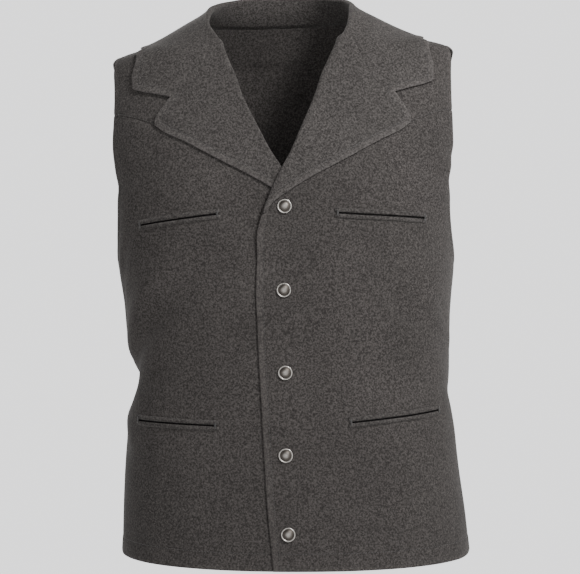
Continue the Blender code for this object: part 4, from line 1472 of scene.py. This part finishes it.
def make_slot_shade(pocket):
    """The near-black strip of painted shade in a slot: four long edges, the faces between them and both ends.
    """
    inner, outer, lift = slot_on_chart(pocket)
    rows = []
    for side in (-0.5, 0.5):
        for rise in (SLOT_RISE, -SLOT_RISE):
            rows.append([above(chart, lip_rise(chart, lift) + rise) for chart in (
                mix(inner, outer, step / WELT_STEPS) + Vector((0.0, side * SLOT_WIDTH))
                for step in range(WELT_STEPS + 1))])
    count = WELT_STEPS + 1
    faces = []
    for first, second in ((0, 2), (2, 3), (3, 1), (1, 0)):
        for step in range(WELT_STEPS):
            corner, beyond = first * count + step, second * count + step
            faces.append((corner, corner + 1, beyond + 1, beyond))
    faces.extend(((0, 2 * count, 3 * count, count), (count - 1, 2 * count - 1, 4 * count - 1, 3 * count - 1)))
    name = f"pocket_{pocket.name}_mouth"
    mesh = bpy.data.meshes.new(name)
    mesh.from_pydata([point for row in rows for point in row], [], faces)
    slot_shade = new_piece(name, mesh)
    face_outwards(slot_shade)
    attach(slot_shade, "root")
    return slot_shade


def tack_line(pocket, end, number):
    """One upright stitch line of a bar tack, out of the lips' top."""
    inner, outer, lift = slot_on_chart(pocket)
    along = (outer - inner).normalized()
    centre = inner - along * TACK_IN if end == 0 else outer + along * TACK_IN
    height = (number / (TACK_STITCHES - 1) - 0.5) * TACK_LENGTH
    places, ups = [], []
    for aside in (-0.5, 0.5):
        chart = centre + along * (aside * STITCH_LENGTH * TACK_REACH) + Vector((0.0, height))
        places.append(tuple(above(chart, lip_rise(chart, lift) + WELT_GAP + WELT_CLOTH * TACK_RISE)))
        ups.append(tuple(body_frame(chart)[2]))
    return np.array(places), np.array(ups)


# Each slot gets a near-black strip of painted shade.
slot_shades = [make_slot_shade(pocket) for pocket in POCKETS]
tacks = {}
for pocket in POCKETS:
    lines = [tack_line(pocket, end, number) for end in (0, 1) for number in range(TACK_STITCHES)]
    tacks[pocket.name] = sew(f"pocket_{pocket.name}_tacks", lines, pitch=STITCH_LENGTH * TACK_PITCH)

# %% [markdown]
# ## Snap caps
# The five closures are press snaps with a turned metal cap: a rolled rim, a groove inside it and a low
# dome. We turn it as on a lathe, ring by ring: a disc is extruded and scaled from one ring to the next.
# Then a subdivision rounds it. Its wear and a painted highlight go into one attribute: the rim is
# bright with wear, the middle of the dome is painted bright as a highlight, and between them it is dark.

# %% Model the snap cap
SNAP_RADIUS = 0.00825
SNAP_HEIGHT = 0.0036
Ring = namedtuple("Ring", "radius height")
SNAP_RINGS = (
    Ring(0.00825, 0.0003), Ring(0.00825, 0.0009), Ring(0.0081, 0.0015), Ring(0.0077, 0.0019),
    Ring(0.0072, 0.0019), Ring(0.0068, 0.0016), Ring(0.0065, 0.0012), Ring(0.0062, 0.0012),
    Ring(0.0059, 0.0015), Ring(0.0053, 0.0021), Ring(0.0042, 0.0028), Ring(0.0028, 0.0033),
    Ring(0.0014, 0.0035),
)
SNAP_CORNERS = 32
RIM_WEAR = 0.85
RIM_MIDDLE = 0.0075
RIM_WIDTH = 0.0008
DOME_HIGHLIGHT = 0.46
DOME_HIGHLIGHT_REACH = (0.0006, 0.0046)

bpy.ops.mesh.primitive_circle_add(vertices=SNAP_CORNERS, radius=SNAP_RADIUS, fill_type="NGON")
cap_pattern = bpy.context.object
cap_pattern.name = "snap_cap_pattern"
bpy.ops.object.mode_set(mode="EDIT")
bpy.ops.mesh.select_all(action="SELECT")
before = Ring(SNAP_RADIUS, 0.0)
for ring in SNAP_RINGS:
    step = (0.0, 0.0, ring.height - before.height)
    bpy.ops.mesh.extrude_region_move(TRANSFORM_OT_translate={"value": step})
    grow = ring.radius / before.radius
    bpy.ops.transform.resize(value=(grow, grow, 1.0))
    before = ring
bpy.ops.mesh.poke(offset=SNAP_HEIGHT - before.height)
bpy.ops.mesh.select_all(action="SELECT")
bpy.ops.mesh.normals_make_consistent(inside=False)
bpy.ops.object.mode_set(mode="OBJECT")
round_off = cap_pattern.modifiers.new("round_off", "SUBSURF")
round_off.levels = 1
round_off.render_levels = 1
bpy.ops.object.modifier_apply(modifier="round_off")
cap_pattern.data.shade_smooth()
cap_wear_and_highlight = cap_pattern.data.attributes.new("worn", "FLOAT", "POINT")
for corner in cap_pattern.data.vertices:
    radius = math.hypot(corner.co.x, corner.co.y)
    rim_wear = RIM_WEAR * math.exp(-((radius - RIM_MIDDLE) / RIM_WIDTH) ** 2)
    # The dome's bright middle is a painted highlight, not wear.
    dome_highlight = DOME_HIGHLIGHT * (1.0 - ease(*DOME_HIGHLIGHT_REACH, radius))
    cap_wear_and_highlight.data[corner.index].value = max(rim_wear, dome_highlight)
print("snap cap", len(cap_pattern.data.vertices), "points")

# %% [markdown]
# Each cap is a copy of that pattern, set down on the left front where the photograph shows it. The
# finished pieces stay at the origin, so the copy's own mesh is moved rather than the object.

# %% Set the caps
SNAPS = ((0.0010, -0.209), (-0.0030, -0.303), (-0.0040, -0.3965), (-0.0065, -0.490), (-0.0075, -0.579))
SNAP_TURN = 1.7
caps = []
for number, (x, height) in enumerate(SNAPS, start=1):
    chart = on_front(x, height)
    place = above(chart, left_lift(chart) + CLOTH / 2.0 + SNAP_STAND)
    turn = body_frame(chart)[2].to_track_quat("Z", "Y").to_matrix().to_4x4()
    mesh = cap_pattern.data.copy()
    mesh.transform(Matrix.Translation(place) @ turn @ Matrix.Rotation(number * SNAP_TURN, 4, "Z"))
    cap = new_piece(f"snap_cap_{number}", mesh)
    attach(cap, "root")
    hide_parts(f"snap_{number}")
    caps.append(cap)
bpy.data.objects.remove(cap_pattern, do_unlink=True)
print("caps", len(caps))

# %% [markdown]
# ## Heathered wool
# The cloth is a dark warm grey wool, spun from dark and light fibres together, so from close by it is
# full of small pale flecks, and from afar softly mottled. The flecks come from several noises: a round
# one, and two drawn out along warp and weft in the chart's metres. Where an edge rubs, the nap is paler.
# The stitched band along an edge gets a painted highlight: its wool is painted a little lighter than
# the panel, for the light that the rolled edge catches. First come a few helpers that add nodes and
# join them.

# %% Node helpers
DARK_SOCKET = 6
LIGHT_SOCKET = 7
COLOUR_OUT = 2


def add_node(tree, kind, inputs=(), **settings):
    made = tree.nodes.new(kind)
    for key, value in settings.items():
        setattr(made, key, value)
    for key, value in dict(inputs).items():
        made.inputs[key].default_value = value
    return made


def add_math(tree, operation, first, second):
    """A math node on two values, each a socket or a number."""
    made = add_node(tree, "ShaderNodeMath", operation=operation)
    for slot_number, value in enumerate((first, second)):
        if isinstance(value, (int, float)):
            made.inputs[slot_number].default_value = value
        else:
            tree.links.new(value, made.inputs[slot_number])
    return made.outputs[0]


def add_noise(tree, vector, scale, stretch=(1.0, 1.0, 1.0), turn=0.0, detail=2.0, roughness=0.55):
    mapping = add_node(tree, "ShaderNodeMapping", {"Scale": stretch, "Rotation": (0.0, 0.0, turn)})
    tree.links.new(vector, mapping.inputs["Vector"])
    made = add_node(tree, "ShaderNodeTexNoise", {"Scale": scale, "Detail": detail, "Roughness": roughness})
    tree.links.new(mapping.outputs["Vector"], made.inputs["Vector"])
    return made.outputs["Fac"]


def add_range(tree, value, low, high, to_low=0.0, to_high=1.0):
    """A value's stretch from low to high, spread to run from to_low to to_high."""
    limits = {"From Min": low, "From Max": high, "To Min": to_low, "To Max": to_high}
    made = add_node(tree, "ShaderNodeMapRange", limits)
    tree.links.new(value, made.inputs["Value"])
    return made.outputs["Result"]


def add_sum(tree, parts):
    """The sum of values, each times its weight."""
    weighted = [add_math(tree, "MULTIPLY", value, weight) for value, weight in parts]
    total = weighted[0]
    for value in weighted[1:]:
        total = add_math(tree, "ADD", total, value)
    return total


def add_blend(tree, dark, light, share):
    """A colour that goes from dark to light with a share."""
    blend = add_node(tree, "ShaderNodeMix", data_type="RGBA", clamp_factor=True)
    blend.inputs[DARK_SOCKET].default_value = (*dark, 1.0)
    blend.inputs[LIGHT_SOCKET].default_value = (*light, 1.0)
    tree.links.new(share, blend.inputs["Factor"])
    return blend.outputs[COLOUR_OUT]


def add_bump(tree, shader, height, strength, distance):
    bump = add_node(tree, "ShaderNodeBump", {"Strength": strength, "Distance": distance})
    tree.links.new(height, bump.inputs["Height"])
    tree.links.new(bump.outputs["Normal"], shader.inputs["Normal"])


def read_attribute(tree, name):
    return add_node(tree, "ShaderNodeAttribute", attribute_name=name).outputs["Fac"]


def start_material(name, settings):
    """A new material: its node tree, its shader with the settings made, and its coordinates."""
    material = bpy.data.materials.new(name)
    material.use_nodes = True
    tree = material.node_tree
    shader = tree.nodes["Principled BSDF"]
    for socket_name, value in settings.items():
        shader.inputs[socket_name].default_value = value
    return material, tree, shader, add_node(tree, "ShaderNodeTexCoord")


print("node helpers are ready")

# %% [markdown]
# The wool's colour is a sum of shares: flecks, weft, warp, rubbed edge, and a painted highlight on
# the stitched band. It goes from the dark fibre to the light one, and a slow noise makes the whole a
# little paler here and darker there. A finer noise raises the nap. The facing is the same wool, a trace
# lighter and cut on a turn.

# %% Wool
FLECK = {"scale": 480.0, "detail": 5.0, "roughness": 0.74}
FLECK_RANGE = (0.43, 0.61)
YARN_LONG, YARN_SHORT = 420.0, 2300.0
YARN_RANGE = (0.36, 0.70)
RUB_SCALE = 210.0
RUB_RANGE = (0.30, 0.65)
FLECK_SHARE, YARN_SHARE, RUB_SHARE, BAND_HIGHLIGHT_SHARE = 0.62, 0.22, 0.34, 0.07
MOTTLE = {"scale": 11.0, "detail": 3.0, "roughness": 0.6}
MOTTLE_RANGE = (0.25, 0.75, 0.86, 1.12)
NAP = {"scale": 430.0, "detail": 4.0, "roughness": 0.65}
NAP_BUMP = (0.60, 0.00050)
WOOL_SHADER = {
    "Roughness": 0.95, "Specular IOR Level": 0.12, "Sheen Weight": 0.08, "Sheen Roughness": 0.45,
    "Sheen Tint": (0.80, 0.77, 0.74, 1.0),
}
FACING_GRAIN = 0.45


def make_wool(name, dark, light, grain):
    """Heathered wool. dark and light are the two fibres' colours, and grain turns warp and weft."""
    material, tree, shader, coords = start_material(name, WOOL_SHADER)
    place = coords.outputs["Object"]
    chart = coords.outputs["UV"]
    fleck = add_range(tree, add_noise(tree, place, **FLECK), *FLECK_RANGE)
    weft = add_noise(tree, chart, 1.0, (YARN_LONG, YARN_SHORT, 1.0), grain)
    warp = add_noise(tree, chart, 1.0, (YARN_SHORT, YARN_LONG, 1.0), grain)
    rub = add_range(tree, add_noise(tree, place, RUB_SCALE), *RUB_RANGE)
    rubbed = add_math(tree, "MULTIPLY", read_attribute(tree, "near_edge"), rub)
    # The band share paints a highlight along the stitched band. The rubbed share is wear.
    fibres = add_sum(tree, (
        (fleck, FLECK_SHARE), (add_range(tree, weft, *YARN_RANGE), YARN_SHARE),
        (add_range(tree, warp, *YARN_RANGE), YARN_SHARE), (rubbed, RUB_SHARE),
        (read_attribute(tree, "band"), BAND_HIGHLIGHT_SHARE)))
    mottle = add_range(tree, add_noise(tree, place, **MOTTLE), *MOTTLE_RANGE)
    tinted = add_node(tree, "ShaderNodeHueSaturation")
    tree.links.new(add_blend(tree, dark, light, fibres), tinted.inputs["Color"])
    tree.links.new(mottle, tinted.inputs["Value"])
    tree.links.new(tinted.outputs["Color"], shader.inputs["Base Color"])
    add_bump(tree, shader, add_noise(tree, place, **NAP), *NAP_BUMP)
    return material


wool = make_wool("heathered_wool", (0.0070, 0.0062, 0.0058), (0.071, 0.0642, 0.0608), 0.0)
facing_wool = make_wool("heathered_wool_facing", (0.0074, 0.0066, 0.0062), (0.076, 0.0695, 0.0660),
                        FACING_GRAIN)
for cloth in (*fronts.values(), *yokes.values(), back):
    cloth.piece.data.materials.append(wool)
for cloth in (*lapels.values(), collar):
    cloth.piece.data.materials.append(facing_wool)
for pair in lips.values():
    for lip in pair:
        lip.data.materials.append(facing_wool)
print("wools", wool.name, facing_wool.name)

# %% [markdown]
# ## Thread, painted slot shade and antique silver
# The thread is matched to the wool and a shade darker, with the faint gloss of twisted polyester. The
# pocket slots get a near-black strip of painted shade. The snaps are old silver: its tarnish stays in
# the grooves, handling keeps the rim bright, and the middle of the dome is painted bright as a
# highlight.

# %% Thread and metal
TWO_TONE_RANGE = (0.3, 0.7)
THREAD_COLOURS = ((0.008, 0.007, 0.007), (0.030, 0.027, 0.025))
THREAD_TWIST = 2600.0
THREAD_SHADER = {"Roughness": 0.55, "Sheen Weight": 0.10}
# The slot strip is near black. It is painted shade, standing for the dark inside the pocket.
SLOT_SHADE_COLOURS = ((0.004, 0.004, 0.004), (0.010, 0.009, 0.009))
SLOT_SHADE_WEAVE = 400.0
SLOT_SHADE_SHADER = {"Roughness": 1.0, "Specular IOR Level": 0.0}
SILVER_COLOURS = ((0.070, 0.062, 0.055), (0.62, 0.59, 0.55))
TARNISH = {"scale": 900.0, "detail": 4.0, "roughness": 0.65}
TARNISH_RANGE = (0.30, 0.70, 0.55, 1.15)
SILVER_GLOSS = (0.0, 1.0, 0.52, 0.26)
SILVER_SHADER = {"Metallic": 1.0}
PIT_SCALE = 2200.0
PIT_BUMP = (0.18, 0.00012)


def make_trimming(name, colours, scale, settings):
    """Thread, or the near-black strip of painted shade in the slots: two near tones, mixed by one noise."""
    material, tree, shader, coords = start_material(name, settings)
    tone = add_range(tree, add_noise(tree, coords.outputs["Object"], scale), *TWO_TONE_RANGE)
    tree.links.new(add_blend(tree, *colours, tone), shader.inputs["Base Color"])
    return material


def make_silver():
    """Old silver: bright and smooth on the rubbed rim and on the dome's painted highlight, dark and dull
    elsewhere.
    """
    material, tree, shader, coords = start_material("old_silver", SILVER_SHADER)
    place = coords.outputs["Object"]
    tarnish = add_range(tree, add_noise(tree, place, **TARNISH), *TARNISH_RANGE)
    # Rim wear and the dome's painted highlight lighten the base colour here.
    bright = add_math(tree, "MULTIPLY", read_attribute(tree, "worn"), tarnish)
    tree.links.new(add_blend(tree, *SILVER_COLOURS, bright), shader.inputs["Base Color"])
    tree.links.new(add_range(tree, bright, *SILVER_GLOSS), shader.inputs["Roughness"])
    add_bump(tree, shader, add_noise(tree, place, PIT_SCALE), *PIT_BUMP)
    return material


thread_material = make_trimming("charcoal_thread", THREAD_COLOURS, THREAD_TWIST, THREAD_SHADER)
slot_shade_paint = make_trimming("painted_slot_shade", SLOT_SHADE_COLOURS, SLOT_SHADE_WEAVE, SLOT_SHADE_SHADER)
silver = make_silver()
for thread in (*threads, *tacks.values()):
    thread.data.materials.append(thread_material)
for slot_shade in slot_shades:
    slot_shade.data.materials.append(slot_shade_paint)
for cap in caps:
    cap.data.materials.append(silver)
for number in range(1, len(SNAPS) + 1):
    socket = bpy.data.objects[f"snap_back_{number}"]
    socket.material_slots[0].material = silver
print("thread, pocketing and silver are on their pieces")

# %% [markdown]
# ## The cut of the cloth
# The flat sizes are those of the pattern pieces that the photograph shows, and the areas come from the
# panels.

# %% Cloth sizes
def cloth_area(cloth):
    """The area of a panel's outer face."""
    rows = cloth.outer
    first = np.cross(rows[:-1, 1:] - rows[:-1, :-1], rows[1:, :-1] - rows[:-1, :-1])
    second = np.cross(rows[1:, :-1] - rows[1:, 1:], rows[:-1, 1:] - rows[1:, 1:])
    return float((np.linalg.norm(first, axis=2) + np.linalg.norm(second, axis=2)).sum() / 2.0)


LEFT_LIPS = ("pocket_chest_left_upper_lip", "pocket_chest_left_lower_lip",
             "pocket_lower_left_upper_lip", "pocket_lower_left_lower_lip")
RIGHT_LIPS = ("pocket_chest_right_upper_lip", "pocket_chest_right_lower_lip",
              "pocket_lower_right_upper_lip", "pocket_lower_right_lower_lip")
CUTS = (
    (fronts["left"], (0.300, 0.540), "hung", LEFT_LIPS),
    (fronts["right"], (0.300, 0.540), "hung", RIGHT_LIPS),
    (yokes["left"], (0.170, 0.180), "hung", ()),
    (yokes["right"], (0.170, 0.180), "hung", ()),
    (back, (0.560, 0.650), "hung", ()),
    (lapels["left"], (0.125, 0.240), "folded", ()),
    (lapels["right"], (0.125, 0.240), "folded", ()),
    (collar, (0.125, 0.560), "folded", ()),
)
for cloth, flat, held, pieces in CUTS:
    area = cloth_area(cloth)
    print(cloth.piece.name, "area", round(area, 4), "of", round(flat[0] * flat[1], 4))
    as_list(pieces)
